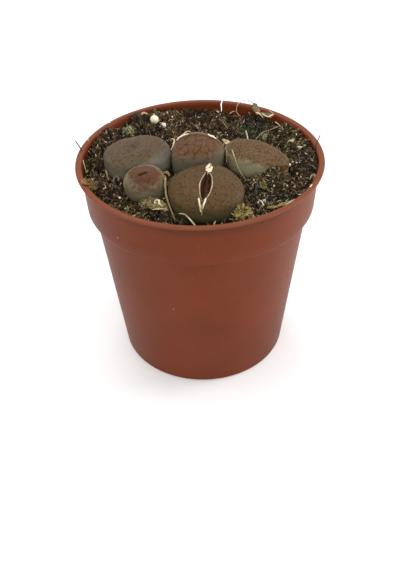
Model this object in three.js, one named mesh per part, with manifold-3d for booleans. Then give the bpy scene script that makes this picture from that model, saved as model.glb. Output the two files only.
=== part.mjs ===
// Potted lithops: five living-stone heads standing in peat, in a moulded plastic nursery pot.
// Millimetres, +Z up, +Y towards the back of the pot; the origin is the centre of the pot's foot.
import * as THREE from "three";
import { mergeVertices } from "three/addons/utils/BufferGeometryUtils.js";
import Module from "manifold-3d";

// Pot
const POT_HEIGHT = 78.5;
const RIM_RADIUS = 42.5;
const RIM_FLANGE = 1.8;
const RIM_THICKNESS = 0.9;
const WALL = 0.7;
const COLLAR_HEIGHT = 16.1;
const COLLAR_TOP_RADIUS = 40.9;
const COLLAR_FOOT_RADIUS = 40.0;
const BODY_TOP_RADIUS = 37.8;
const LEDGE_DROP = 0.7;
const BASE_RADIUS = 31.2;
const BASE_ROUND = 1.5;
const FOOT_WIDTH = 2.6;
const BASE_RECESS = 1.6;
const POT_SEGMENTS = 48;
const DRAIN_HOLES = 8;
const DRAIN_RADIUS = 2.4;
const DRAIN_CIRCLE = 21;
const CRACK_BEARING = THREE.MathUtils.degToRad(77.5);
const CRACK_WIDTH = 0.7;
const CRACK_DEPTH = 4.5;

// Soil
const CLEARANCE = 0.3;
const SOIL_DEPTH_BELOW_RIM = 5;
const SOIL_GRID = 2.0;
const CRUMB_SIZE = 2.5;
const CRUMB_RISE = 1.5;
const SWELL_SIZE = 9;
const SWELL_RISE = 1.3;
// The soil banks up against the wall and against the back right head
const MOUNDS = [
  { x: -38.5, y: 9, rise: 4.0, spread: 6.5 },
  { x: -34, y: 19.5, rise: 4.0, spread: 6.5 },
  { x: -23.5, y: 32.5, rise: 4.4, spread: 6.5 },
  { x: -15, y: 37.5, rise: 3.8, spread: 4.5 },
  { x: 3, y: 40.5, rise: 2.4, spread: 8 },
  { x: 13.5, y: 38, rise: -1.4, spread: 3.5 },
  { x: 20.5, y: 34, rise: 2.6, spread: 4.5 },
  { x: 34, y: 21, rise: 3.6, spread: 6.5 },
  { x: 39, y: 8, rise: 3.4, spread: 7 },
  { x: 40, y: -4, rise: 4.0, spread: 6 },
  { x: 31, y: -4, rise: 2.5, spread: 4.5 },
  { x: 24.5, y: -12, rise: 4.2, spread: 5 },
  { x: 18, y: -11, rise: 1.8, spread: 4 },
  { x: -37, y: -13, rise: 3.0, spread: 4 },
  { x: -30, y: -20, rise: 0.8, spread: 8 },
  { x: 26, y: -25, rise: 0.8, spread: 8 },
];

// Heads: plan centre, half lengths, turn, squareness, egg shape, and heights from the rim's top
const HEAD_SEGMENTS = 28;
const ROOM_SEGMENTS = 20;
const ROOT_LENGTH = 17;
const ROOT_POWER = 0.7;
const SHOULDER_POWER = 0.62;
const HEADS = {
  head_back_left: {
    x: -21.3, y: 2.1, a: 11.7, b: 9.7, turn: 24.6, squareness: 2.4, egg: 0.02,
    ground: -4.5, shoulder: 0.5, crown: 3.7, lean: -0.01, foot: 0.99, color: 0x857b6c,
  },
  head_back_centre: {
    x: -0.3, y: 0.1, a: 8.7, b: 8.6, turn: -18, squareness: 2.4, egg: 0.27,
    ground: -5, shoulder: 2.9, crown: 3.7, lean: -0.05, foot: 0.96, color: 0x8f6a58,
  },
  head_back_right: {
    x: 19.4, y: -1.1, a: 11.9, b: 6.9, turn: -31, squareness: 2.0, egg: 0.17,
    ground: -4.5, shoulder: 1.3, crown: 1.5, lean: 0.09, foot: 0.95, color: 0x8a6e50,
  },
  head_front_small: {
    x: -18.3, y: -15.0, a: 7.0, b: 6.7, turn: 16.7, squareness: 2.1, egg: -0.12,
    ground: -4.5, shoulder: 0.1, crown: 4.2, lean: -0.01, foot: 0.9, color: 0x92705c,
  },
  head_front_large: {
    x: 1.6, y: -21.6, a: 11.9, b: 12.6, turn: 20.9, squareness: 2.2, egg: -0.05,
    ground: -4.5, shoulder: 0.9, crown: 4.0, lean: 0.01, foot: 0.95, color: 0x8b6d50,
  },
};

// From each head's root tip to its crown, and the same for the hollow that it stands in
const HEAD_STATIONS = [-1, -0.85, -0.5, 0, 1, 1.25, 1.5, 1.7, 1.85, 1.94, 2];
const ROOM_STATIONS = [-1, -0.8, -0.4, 0, 1, 2];
const ROOM_GROWTH = 0.5;

// Fissures between the lobes, as lines in plan
const GROOVE_WIDTH = 0.6;
const GROOVE_DEPTH = 1.1;
const LEFT_FISSURE = [[-26.6, -8.2], [-23.3, -5.4], [-21, -3.2], [-19.2, -0.4], [-17.9, 2.5], [-16, 11]];
const CENTRE_FISSURE = [[-9.5, 1.6], [-3.8, 3.5], [0.5, 3.1], [4, 1.7], [9, -1.6]];
const SMALL_SLIT = [[-19.9, -17.8], [-18.5, -17.0], [-17.2, -16.3]];

// The front head has split: a lens stands open between its lobes
const SPLIT_PATH = [[2.9, -8], [2.6, -18.5], [1.7, -26], [0.6, -31.9], [0, -35]];
const SPLIT_BACK = -18.2;
const SPLIT_FRONT = -32.0;
const SPLIT_WIDTH = 3.8;
const SPLIT_WIDTH_POWER = 0.65;
const SPLIT_DEPTH = 6;
const SPLIT_DEPTH_POWER = 0.5;

// What lies on and grows in the soil; heights are from the rim's top
const LEAFLET_RADIUS = 0.5;
const SKIN_THICKNESS = 0.6;
const GOLDEN_ANGLE = 2.4;
const CONE_AXIS = new THREE.Vector3(0, 1, 0);
const GRAINS = {
  fertiliser_prill: {
    x: -16.7, y: 31.4, z: -2.3, radii: [1.6, 1.6, 1.6], rough: 0.04, seed: 3, color: 0xe3dc9a,
  },
  perlite_grain: {
    x: -13.4, y: 29.8, z: -4.3, radii: [0.8, 0.8, 1.2], rough: 0.3, seed: 5, color: 0xf1eeea,
  },
};
const MOSSES = {
  moss_knob_back_left: {
    x: -26.3, y: 25.8, z: -4.2, radii: [2.3, 2.1, 2.2], leaflets: 16, length: 1.3, seed: 11, color: 0x8f9d5c,
  },
  moss_patch_back_right: {
    x: 21.5, y: 24.3, z: -5, radii: [6.4, 6.2, 1.6], leaflets: 36, length: 1.9, seed: 12, color: 0x39443a,
  },
  moss_patch_right: {
    x: 33.6, y: 14.6, z: -5, radii: [2.8, 4.4, 1.6], leaflets: 18, length: 1.7, seed: 13, color: 0x6d6a3c,
  },
  moss_tuft_front_right: {
    x: 12.6, y: -30.6, z: -4.6, radii: [2.6, 2.5, 3.4], leaflets: 20, length: 1.8, seed: 14, color: 0xa08a45,
  },
  moss_clump_left: {
    x: -36.4, y: -13.2, z: -3.4, radii: [1.9, 2.6, 3], leaflets: 16, length: 1.5, seed: 15, color: 0x7d7448,
  },
};
const STRAW_RADIUS = 0.32;
const STRAWS = {
  straw_between_heads: {
    points: [
      [-11.3, -16.2, 2.6], [-11.35, -18.4, 1.3], [-11.3, -20.9, 0],
      [-11, -24, -1.6], [-8.6, -31.3, -5.6],
    ],
    color: 0xa98a5f,
  },
  straw_right: {
    points: [[10.9, -1.1, 3.0], [11.6, -4.3, 1.9], [13.2, -6.1, -2.2], [16.2, -8.6, -6]],
    color: 0xc9a983,
  },
  straw_front: {
    points: [
      [-7.8, -31.2, -5.6], [-6.9, -31.7, -2.5], [-4.9, -33, -2.3],
      [-2.9, -34.2, -3.6], [-1.4, -35.2, -5.6],
    ],
    color: 0xd8c8a8,
  },
};
const LEAF_THICKNESS = 0.7;
const LEAVES = {
  leaf_strip_front_right: {
    points: [[20.2, -27.6, -4.1], [23.5, -26.6, -3.8], [27.7, -25.1, -3.6], [31, -22.8, -3.8]],
    width: 2, arch: 0.3, color: 0xa38b57,
  },
  leaf_strip_front: {
    points: [[14.5, -33.2, -4.4], [16.2, -32.2, -3.9], [18.3, -30.4, -4.3]],
    width: 1.8, arch: 0.3, color: 0xa8925f,
  },
  leaf_scrap_back: {
    points: [[20.8, 36.5, 1.2], [21.8, 33.8, 1.4], [23.2, 30.8, 0.1], [25.6, 28.2, -2.4]],
    width: 2.4, arch: 0.5, color: 0x6f6a45,
  },
};

// Dry skin on the heads: bearings and climb say which patch of a head it covers, stand how far it is off it
const SKINS = {
  dry_skin_cap: {
    head: "head_front_large", bearings: [50, 70], climb: [1.58, 1.92], stand: [0.35, 0.5],
    taper: 1, ragged: 0, color: 0xe9e0c8,
  },
  dry_skin_split: {
    head: "head_front_large", bearings: [-124, -113], climb: [0.85, 1.46], stand: [0.35, 0.35],
    taper: 0.4, ragged: 0.05, color: 0xdcd3ae,
  },
  dry_skin_left: {
    head: "head_back_centre", bearings: [165, 206], climb: [1.2, 1.45], stand: [0.35, 0.8],
    taper: 1, ragged: 0.2, color: 0xd9c9a4,
  },
  dry_skin_right: {
    head: "head_back_centre", bearings: [8, 36], climb: [1.15, 1.42], stand: [0.35, 0.8],
    taper: 1, ragged: 0.2, color: 0xcdbb98,
  },
  dry_sheath_front_left: {
    head: "head_front_small", bearings: [-122, -66], climb: [0.12, 0.42], stand: [1.2, 3.4],
    taper: 1, ragged: 0.2, color: 0xcabf94,
  },
};

const wasm = await Module();
wasm.setup();

// A geometry with nothing but its positions, so that vertices at one place can be merged.
function bareOf(geometry) {
  const bare = geometry.clone();
  bare.deleteAttribute("normal");
  bare.deleteAttribute("uv");
  return bare;
}

// A closed three.js geometry as a solid that can be joined and cut.
function solidOf(geometry) {
  const merged = mergeVertices(bareOf(geometry), 1e-4);
  const corners = merged.index.array;
  const kept = [];
  for (let i = 0; i < corners.length; i += 3) {
    const [a, b, c] = corners.slice(i, i + 3);
    if (a !== b && b !== c && c !== a) kept.push(a, b, c);
  }
  const vertProperties = new Float32Array(merged.attributes.position.array);
  const mesh = new wasm.Mesh({ numProp: 3, vertProperties, triVerts: new Uint32Array(kept) });
  return new wasm.Manifold(mesh);
}

// The largest body of a solid, so that a cut leaves no loose scraps.
function largestBody(solid) {
  const bodies = solid.decompose();
  return bodies.reduce((best, body) => (body.volume() > best.volume() ? body : best));
}

function meshOf(name, solid, color, roughness) {
  const { vertProperties, triVerts } = largestBody(solid).getMesh();
  const geometry = new THREE.BufferGeometry();
  geometry.setAttribute("position", new THREE.BufferAttribute(vertProperties, 3));
  geometry.setIndex(new THREE.BufferAttribute(triVerts, 1));
  geometry.computeVertexNormals();
  const material = new THREE.MeshStandardMaterial({ color, roughness, metalness: 0 });
  const mesh = new THREE.Mesh(geometry, material);
  mesh.name = name;
  return mesh;
}

// Moves every vertex of a geometry to where place(vertex) puts it.
function reshape(geometry, place) {
  const positions = geometry.attributes.position;
  const vertex = new THREE.Vector3();
  for (let i = 0; i < positions.count; i += 1) {
    vertex.fromBufferAttribute(positions, i);
    place(vertex);
    positions.setXYZ(i, vertex.x, vertex.y, vertex.z);
  }
  return geometry;
}

// A solid of revolution about +Z from a profile of [radius, height] points.
function turned(profile, segments) {
  const points = profile.map(([radius, height]) => new THREE.Vector2(radius, height));
  return new THREE.LatheGeometry(points, segments).rotateX(Math.PI / 2);
}

function seededRandom(seed) {
  let state = seed;
  return () => {
    state = (state * 1664525 + 1013904223) % 4294967296;
    return state / 4294967296;
  };
}

function latticeValue(i, j) {
  const hash = Math.sin(i * 127.1 + j * 311.7) * 43758.5453;
  return hash - Math.floor(hash);
}

// Smooth noise from -1 to 1, one lattice cell a unit.
function noise(x, y) {
  const i = Math.floor(x);
  const j = Math.floor(y);
  const u = THREE.MathUtils.smoothstep(x - i, 0, 1);
  const v = THREE.MathUtils.smoothstep(y - j, 0, 1);
  const near = THREE.MathUtils.lerp(latticeValue(i, j), latticeValue(i + 1, j), u);
  const far = THREE.MathUtils.lerp(latticeValue(i, j + 1), latticeValue(i + 1, j + 1), u);
  return 2 * THREE.MathUtils.lerp(near, far, v) - 1;
}

// ---- Pot ----

const COLLAR_FOOT = POT_HEIGHT - COLLAR_HEIGHT;
const RIM_UNDERSIDE = POT_HEIGHT - RIM_THICKNESS;

// The inner face of the pot from the middle of its floor up to the rim, drawn in by clearance.
function potInside(clearance) {
  const ledge = COLLAR_FOOT + WALL + clearance;
  const floor = BASE_RECESS + WALL + clearance;
  return [
    [0, floor],
    [BASE_RADIUS - WALL - BASE_ROUND - clearance, floor],
    [BASE_RADIUS - WALL - clearance, floor + BASE_ROUND],
    [BODY_TOP_RADIUS - WALL - clearance, ledge - 0.3],
    [COLLAR_FOOT_RADIUS - WALL - 0.4 - clearance, ledge],
    [COLLAR_FOOT_RADIUS - WALL - clearance, ledge + 0.5],
    [COLLAR_TOP_RADIUS - WALL - clearance, RIM_UNDERSIDE],
  ];
}

// The space that the wall encloses, a clearance in from it and open far above the rim.
function potSpace() {
  const sky = 2 * POT_HEIGHT;
  const mouth = COLLAR_TOP_RADIUS - WALL - CLEARANCE;
  return solidOf(turned([...potInside(CLEARANCE), [mouth, sky], [0, sky]], POT_SEGMENTS));
}

function makePot() {
  const outside = [
    [0, BASE_RECESS],
    [BASE_RADIUS - FOOT_WIDTH - 0.4, BASE_RECESS],
    [BASE_RADIUS - FOOT_WIDTH, 0],
    [BASE_RADIUS - 0.9, 0],
    [BASE_RADIUS - 0.25, 0.45],
    [BASE_RADIUS, BASE_ROUND],
    [BODY_TOP_RADIUS, COLLAR_FOOT - LEDGE_DROP],
    [BODY_TOP_RADIUS + 0.5, COLLAR_FOOT - 0.25],
    [COLLAR_FOOT_RADIUS - 0.35, COLLAR_FOOT],
    [COLLAR_FOOT_RADIUS, COLLAR_FOOT + 0.5],
    [COLLAR_TOP_RADIUS - 0.1, RIM_UNDERSIDE - 0.4],
    [COLLAR_TOP_RADIUS + 0.3, RIM_UNDERSIDE],
  ];
  const lip = [
    [RIM_RADIUS - 0.3, RIM_UNDERSIDE],
    [RIM_RADIUS, RIM_UNDERSIDE + 0.35],
    [RIM_RADIUS - 0.1, POT_HEIGHT - 0.2],
    [RIM_RADIUS - 0.4, POT_HEIGHT],
    [RIM_RADIUS - RIM_FLANGE + 0.2, POT_HEIGHT],
    [RIM_RADIUS - RIM_FLANGE - 0.3, POT_HEIGHT - 0.25],
  ];
  const profile = [...outside, ...lip, ...potInside(0).reverse()];
  let pot = solidOf(turned(profile, POT_SEGMENTS));
  for (let i = 0; i < DRAIN_HOLES; i += 1) {
    const bearing = ((i + 0.5) / DRAIN_HOLES) * 2 * Math.PI;
    const hole = new THREE.CylinderGeometry(DRAIN_RADIUS, DRAIN_RADIUS, 4 * BASE_RECESS, 16);
    hole.rotateX(Math.PI / 2);
    hole.translate(DRAIN_CIRCLE * Math.cos(bearing), DRAIN_CIRCLE * Math.sin(bearing), BASE_RECESS);
    pot = pot.subtract(solidOf(hole));
  }
  return pot.subtract(makeCrack());
}

// A split that opens upwards through the rim and the top of the wall.
function makeCrack() {
  const crack = new THREE.BoxGeometry(3 * RIM_FLANGE, CRACK_WIDTH, 2 * CRACK_DEPTH);
  reshape(crack, (vertex) => {
    if (vertex.z < 0) vertex.y *= 0.3;
  });
  crack.translate(COLLAR_TOP_RADIUS, 0, POT_HEIGHT);
  crack.rotateZ(CRACK_BEARING);
  return solidOf(crack);
}

// ---- Heads ----

// Radius share and height of a head at t: -1 root tip, 0 ground, 1 shoulder, 2 crown.
function headProfile(head, t) {
  if (t < 0) return [head.foot * Math.pow(1 - t * t, ROOT_POWER), head.ground + ROOT_LENGTH * t];
  if (t < 1) {
    const rho = head.foot + (1 - head.foot) * Math.pow(t, SHOULDER_POWER);
    return [rho, THREE.MathUtils.lerp(head.ground, head.shoulder, t)];
  }
  const angle = ((t - 1) * Math.PI) / 2;
  const rho = t < 2 ? Math.pow(Math.cos(angle), SHOULDER_POWER) : 0;
  return [rho, head.shoulder + head.crown * Math.sin(angle)];
}

// The point of a head's skin at a bearing in its own plan and at t up its profile.
function headPoint(head, bearing, t) {
  const [rho, height] = headProfile(head, t);
  const cos = Math.cos(bearing);
  const sin = Math.sin(bearing);
  const power = head.squareness;
  const reach = Math.pow(Math.abs(cos) ** power + Math.abs(sin) ** power, -1 / power);
  const along = head.a * rho * reach * cos;
  const across = head.b * rho * reach * sin * (1 - head.egg * reach * cos);
  const turn = THREE.MathUtils.degToRad(head.turn);
  const dx = along * Math.cos(turn) - across * Math.sin(turn);
  const dy = along * Math.sin(turn) + across * Math.cos(turn);
  const share = (height - head.ground) / (head.shoulder + head.crown - head.ground);
  const tilt = THREE.MathUtils.clamp(share, 0, 1) * head.lean * dy;
  return new THREE.Vector3(head.x + dx, head.y + dy, POT_HEIGHT + height + tilt);
}

// The share of a head's radius at a plan point, and the height of its domed top there.
function domeHeight(head, x, y) {
  const turn = THREE.MathUtils.degToRad(head.turn);
  const dx = x - head.x;
  const dy = y - head.y;
  const u = (dx * Math.cos(turn) + dy * Math.sin(turn)) / head.a;
  const v = (dy * Math.cos(turn) - dx * Math.sin(turn)) / head.b / (1 - head.egg * u);
  const rho = Math.pow(Math.abs(u) ** head.squareness + Math.abs(v) ** head.squareness, 1 / head.squareness);
  const fall = Math.sqrt(1 - Math.min(rho, 0.98) ** (2 / SHOULDER_POWER));
  return POT_HEIGHT + head.shoulder + head.crown * fall + head.lean * dy;
}

// A head as one closed skin, from its root tip (first station) to its crown (last station).
function makeHead(head, stations, segments) {
  const profile = stations.map((t, i) => [i % (stations.length - 1) ? 1 : 0, t]);
  const skin = turned(profile, segments);
  reshape(skin, (vertex) => {
    vertex.copy(headPoint(head, Math.atan2(vertex.y, vertex.x), vertex.z));
  });
  return solidOf(skin);
}

// A cutter that follows a fissure: path is its line in plan, width and depth change along it.
function fissure(head, path, width, depth, steps = 12) {
  const line = new THREE.SplineCurve(path.map(([x, y]) => new THREE.Vector2(x, y)));
  const cutter = new THREE.BoxGeometry(1, 1, 1, steps, 1, 1);
  reshape(cutter, (vertex) => {
    const s = vertex.x + 0.5;
    const point = line.getPoint(s);
    const tangent = line.getTangent(s);
    const side = vertex.y * width(point) * (vertex.z < 0 ? 0.5 : 1);
    const top = domeHeight(head, point.x, point.y);
    const height = vertex.z < 0 ? top - depth(point) : top + 2;
    vertex.set(point.x - tangent.y * side, point.y + tangent.x * side, height);
  });
  return solidOf(cutter);
}

function groove(head, path) {
  return fissure(head, path, () => GROOVE_WIDTH, () => GROOVE_DEPTH);
}

// How far the front head's split has opened at a plan y: 0 outside its ends, 1 halfway along.
function splitShare(y) {
  const middle = (SPLIT_BACK + SPLIT_FRONT) / 2;
  const offset = (y - middle) / (SPLIT_BACK - middle);
  return Math.abs(offset) < 1 ? 1 - offset * offset : 0;
}

function split(head) {
  const width = (point) => Math.max(GROOVE_WIDTH, SPLIT_WIDTH * splitShare(point.y) ** SPLIT_WIDTH_POWER);
  const deeper = SPLIT_DEPTH - GROOVE_DEPTH;
  const depth = (point) => GROOVE_DEPTH + deeper * splitShare(point.y) ** SPLIT_DEPTH_POWER;
  return fissure(head, SPLIT_PATH, width, depth, 24);
}

function makeHeads() {
  const heads = {};
  for (const [name, shape] of Object.entries(HEADS)) {
    heads[name] = makeHead(shape, HEAD_STATIONS, HEAD_SEGMENTS);
  }
  const { head_back_left: left, head_back_centre: centre, head_front_small: small } = HEADS;
  heads.head_back_left = heads.head_back_left.subtract(groove(left, LEFT_FISSURE));
  heads.head_back_centre = heads.head_back_centre.subtract(groove(centre, CENTRE_FISSURE));
  heads.head_front_small = heads.head_front_small.subtract(groove(small, SMALL_SLIT));
  heads.head_front_large = heads.head_front_large.subtract(split(HEADS.head_front_large));
  return heads;
}

// The heads with a clearance round them: the hollow that they stand in.
function headRoom() {
  const grow = ROOM_GROWTH;
  const rooms = Object.values(HEADS).map((head) => {
    const { a, b, ground, shoulder } = head;
    const larger = { ...head, a: a + grow, b: b + grow, ground: ground - grow, shoulder: shoulder + grow };
    return makeHead(larger, ROOM_STATIONS, ROOM_SEGMENTS);
  });
  return wasm.Manifold.union(rooms);
}

// ---- Soil ----

function soilHeight(x, y) {
  const mounds = MOUNDS.reduce((sum, mound) => {
    const away = ((x - mound.x) ** 2 + (y - mound.y) ** 2) / mound.spread ** 2;
    return sum + mound.rise * Math.exp(-away);
  }, 0);
  const swell = (SWELL_RISE / 2) * noise(x / SWELL_SIZE, y / SWELL_SIZE);
  const crumbs = (CRUMB_RISE / 2) * noise(x / CRUMB_SIZE + 40, y / CRUMB_SIZE);
  return POT_HEIGHT - SOIL_DEPTH_BELOW_RIM + mounds + swell + crumbs;
}

// Everything under the soil's crumbly top, which raise lifts.
function groundBlock(raise) {
  const side = 2 * COLLAR_TOP_RADIUS;
  const cells = Math.round(side / SOIL_GRID);
  const block = new THREE.BoxGeometry(side, side, 2 * POT_HEIGHT, cells, cells, 1);
  reshape(block, (vertex) => {
    if (vertex.z > 0) vertex.z = soilHeight(vertex.x, vertex.y) + raise;
  });
  return solidOf(block);
}

// ---- Grains, moss, straws and dry leaf skin ----

// A rounded lump that lies half in the soil; rough makes its facets uneven.
function makeGrain({ x, y, z, radii, rough, seed }, grow) {
  const random = seededRandom(seed);
  const lump = mergeVertices(bareOf(new THREE.IcosahedronGeometry(1, 1)), 1e-4);
  const size = new THREE.Vector3(...radii).addScalar(grow);
  reshape(lump, (vertex) => {
    vertex.multiplyScalar(1 + rough * (random() - 0.5)).multiply(size);
  });
  return solidOf(lump.translate(x, y, POT_HEIGHT + z));
}

// A cushion of moss: a low core set in the soil, with short leaflets rooted in it all over.
function makeMoss({ x, y, z, radii, leaflets, length, seed }, grow) {
  const random = seededRandom(seed);
  const shape = new THREE.SphereGeometry(1, 12, 6);
  shape.rotateX(Math.PI / 2);
  shape.scale(radii[0] + grow, radii[1] + grow, radii[2] + grow);
  shape.translate(x, y, POT_HEIGHT + z);
  const core = solidOf(shape);
  if (grow > 0) return core;
  const blades = [];
  for (let i = 0; i < leaflets; i += 1) {
    const climb = 0.3 + 0.65 * random();
    const bearing = i * GOLDEN_ANGLE + random();
    const reach = Math.cos((climb * Math.PI) / 2);
    const out = new THREE.Vector3(reach * Math.cos(bearing), reach * Math.sin(bearing), climb).normalize();
    const stem = length * (0.7 + 0.6 * random());
    const leaflet = new THREE.ConeGeometry(LEAFLET_RADIUS, stem, 4);
    leaflet.translate(0, 0.2 * stem, 0);
    leaflet.applyQuaternion(new THREE.Quaternion().setFromUnitVectors(CONE_AXIS, out));
    const root = out.clone().multiply(new THREE.Vector3(...radii)).multiplyScalar(0.85);
    blades.push(solidOf(leaflet.translate(x + root.x, y + root.y, POT_HEIGHT + z + root.z)));
  }
  const leaves = wasm.Manifold.union(blades).subtract(groundBlock(CLEARANCE));
  return core.add(leaves).intersect(potSpace()).subtract(headRoom());
}

function curveThrough(points) {
  return new THREE.CatmullRomCurve3(points.map(([x, y, z]) => new THREE.Vector3(x, y, POT_HEIGHT + z)));
}

// A round straw along a curve of points.
function makeStraw({ points }, grow) {
  const path = curveThrough(points);
  const section = new THREE.Shape();
  section.absarc(0, 0, STRAW_RADIUS + grow, 0, 2 * Math.PI);
  return solidOf(new THREE.ExtrudeGeometry(section, { steps: 8, curveSegments: 3, extrudePath: path }));
}

// A dead leaf lying along a curve, widest in its middle.
function makeLeaf({ points, width, arch }, grow) {
  const path = curveThrough(points);
  const blade = new THREE.BoxGeometry(1, 1, 1, 6, 2, 1);
  reshape(blade, (vertex) => {
    const s = vertex.x + 0.5;
    const point = path.getPoint(s);
    const tangent = path.getTangent(s);
    const side = new THREE.Vector3(-tangent.y, tangent.x, 0).normalize();
    const share = 0.35 + 0.65 * Math.sin(Math.PI * s);
    point.addScaledVector(side, 2 * vertex.y * (0.5 * width * share + grow));
    point.z += vertex.z * (LEAF_THICKNESS + 2 * grow) - arch * 4 * vertex.y * vertex.y;
    vertex.copy(point);
  });
  return solidOf(blade);
}

// Dry skin on a head: a patch of its surface, standing off it, with a ragged upper edge.
function makeSkin({ head, bearings, climb, stand, taper, ragged }, grow) {
  const shape = HEADS[head];
  const patch = new THREE.BoxGeometry(1, 1, 1, 6, 2, 1);
  reshape(patch, (vertex) => {
    const share = vertex.y + 0.5;
    const narrow = THREE.MathUtils.lerp(taper, 1, share);
    const middle = (bearings[0] + bearings[1]) / 2;
    const bearing = THREE.MathUtils.degToRad(middle + vertex.x * (bearings[1] - bearings[0]) * narrow);
    const torn = ragged * share * noise(8 * vertex.x + middle, 3.7);
    const t = THREE.MathUtils.lerp(climb[0], climb[1], share) + torn;
    const point = headPoint(shape, bearing, t);
    const along = headPoint(shape, bearing + 0.02, t).sub(point);
    const up = headPoint(shape, bearing, t + 0.02).sub(point);
    const normal = along.cross(up).normalize();
    const depth = (0.5 + vertex.z) * SKIN_THICKNESS + 2 * vertex.z * grow;
    vertex.copy(point.addScaledVector(normal, THREE.MathUtils.lerp(stand[0], stand[1], share) + depth));
  });
  return solidOf(patch);
}

// ---- The whole pot ----

const KINDS = [
  [GRAINS, makeGrain],
  [MOSSES, makeMoss],
  [STRAWS, makeStraw],
  [LEAVES, makeLeaf],
  [SKINS, makeSkin],
];
const details = KINDS.flatMap(([table, make]) => Object.entries(table).map(([name, detail]) => ({
  name,
  color: detail.color,
  solid: make(detail, 0),
  hollow: make(detail, CLEARANCE),
})));

function makeSoil() {
  const hollows = wasm.Manifold.union([headRoom(), ...details.map((detail) => detail.hollow)]);
  return potSpace().intersect(groundBlock(0)).subtract(hollows);
}

const plant = new THREE.Group();
plant.add(meshOf("pot", makePot(), 0x9c4a38, 0.55));
plant.add(meshOf("soil", makeSoil(), 0x2e2620, 1));
for (const [name, head] of Object.entries(makeHeads())) {
  plant.add(meshOf(name, head, HEADS[name].color, 0.7));
}
for (const { name, solid, color } of details) {
  plant.add(meshOf(name, solid, color, 0.9));
}
export default plant;
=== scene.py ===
"""Potted lithops: five living stones standing in peat, in a moulded nursery pot.

Shapes are worked out in millimetres, +Z up and +Y to the back of the pot, and written in metres.
"""

import itertools
import logging
import math
from dataclasses import dataclass, field
from enum import Enum
from functools import cache

import bpy
import numpy as np
from mathutils import Matrix, Vector


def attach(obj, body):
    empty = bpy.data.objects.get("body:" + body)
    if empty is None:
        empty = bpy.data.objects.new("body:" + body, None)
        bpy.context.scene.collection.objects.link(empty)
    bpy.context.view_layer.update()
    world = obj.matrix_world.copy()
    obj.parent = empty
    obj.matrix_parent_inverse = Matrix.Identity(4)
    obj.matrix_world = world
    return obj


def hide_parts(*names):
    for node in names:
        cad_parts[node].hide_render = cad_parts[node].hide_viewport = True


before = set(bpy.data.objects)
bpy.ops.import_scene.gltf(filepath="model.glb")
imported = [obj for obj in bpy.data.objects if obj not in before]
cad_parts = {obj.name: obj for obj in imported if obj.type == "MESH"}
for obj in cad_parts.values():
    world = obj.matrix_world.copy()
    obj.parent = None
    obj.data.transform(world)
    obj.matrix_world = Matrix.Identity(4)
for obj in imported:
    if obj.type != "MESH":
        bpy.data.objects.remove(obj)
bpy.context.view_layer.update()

log = logging.getLogger("potted_lithops")
Array = np.ndarray
Colour = tuple[float, float, float, float]
Point = tuple[float, float, float]
MM = 0.001
POT_HEIGHT = 78.5
GOLDEN_ANGLE = 2.39996


class Slot(Enum):
    """The record's material slots."""

    POT = "pot"
    SOIL = "soil"
    SKIN_GREY = "skin_grey"
    SKIN_RED = "skin_red"
    SKIN_ORANGE = "skin_orange"
    SKIN_BROWN = "skin_brown"
    PRILL = "prill"
    PERLITE = "perlite"
    MOSS_DARK = "moss_dark"
    MOSS_YELLOW = "moss_yellow"
    STRAW = "straw"
    DEAD_LEAF = "dead_leaf"
    DRY_SKIN = "dry_skin"


# ---- Numbers ----


def tint(code: int) -> Colour:
    """A linear colour from a display colour.

    Args:
        code: The colour as 0xRRGGBB.

    Returns:
        Red, green, blue and an alpha of 1.
    """
    shares = [((code >> shift) & 255) / 255 for shift in (16, 8, 0)]
    linear = [c / 12.92 if c <= 0.04045 else ((c + 0.055) / 1.055) ** 2.4 for c in shares]
    return (linear[0], linear[1], linear[2], 1.0)


def hashed(i: Array, j: Array, k: Array | int, seed: int) -> Array:
    """A repeatable number for each cell of a lattice.

    Args:
        i: Cell numbers along the first axis.
        j: Cell numbers along the second axis.
        k: Cell numbers along the third axis.
        seed: Picks one of many such fields.

    Returns:
        Numbers from 0 to 1.
    """
    mixed = (i * 374761393 + j * 668265263 + k * 1440662683 + seed * 97531177) & 0xFFFFFFFF
    mixed = ((mixed ^ (mixed >> 13)) * 1274126177) & 0xFFFFFFFF
    return ((mixed ^ (mixed >> 16)) & 0xFFFFFF) / 0xFFFFFF


def smooth_noise(points: Array, size: float, seed: int = 0) -> Array:
    """Soft value noise.

    Args:
        points: One row of three coordinates for each point.
        size: How large its features are.
        seed: Picks one of many such fields.

    Returns:
        A value from -1 to 1 for each point.
    """
    scaled = points / size
    cell = np.floor(scaled).astype(np.int64)
    part = scaled - cell
    part = part * part * (3 - 2 * part)
    total = np.zeros(len(points))
    for corner in itertools.product((0, 1), repeat=3):
        weight = np.prod(np.where(corner, part, 1 - part), axis=1)
        total += weight * hashed(*(cell + corner).T, seed)
    return 2 * total - 1


def rough_noise(points: Array, size: float, octaves: int, seed: int = 0) -> Array:
    """Noise with finer and fainter noise on it.

    Args:
        points: One row of three coordinates for each point.
        size: How large its coarsest features are.
        octaves: How many times the size is halved.
        seed: Picks one of many such fields.

    Returns:
        A value for each point, mostly from -1 to 1.
    """
    layers = [smooth_noise(points, size / 2**n, seed + n) * 0.5**n for n in range(octaves)]
    return np.sum(layers, axis=0)


def flat(x: Array, y: Array) -> Array:
    """Plan points as rows of three coordinates, at height 0."""
    return np.stack([x, y, np.zeros_like(x)], axis=-1)


def cells_round(x: Array, y: Array, size: float) -> list[tuple[Array, Array]]:
    """The lattice cells at and next to each plan point.

    Args:
        x: Plan coordinates along X.
        y: Plan coordinates along Y.
        size: The side of a cell.

    Returns:
        The numbers of nine cells for each point.
    """
    i, j = np.floor(x / size).astype(np.int64), np.floor(y / size).astype(np.int64)
    return [(i + di, j + dj) for di, dj in itertools.product((-1, 0, 1), repeat=2)]


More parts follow.
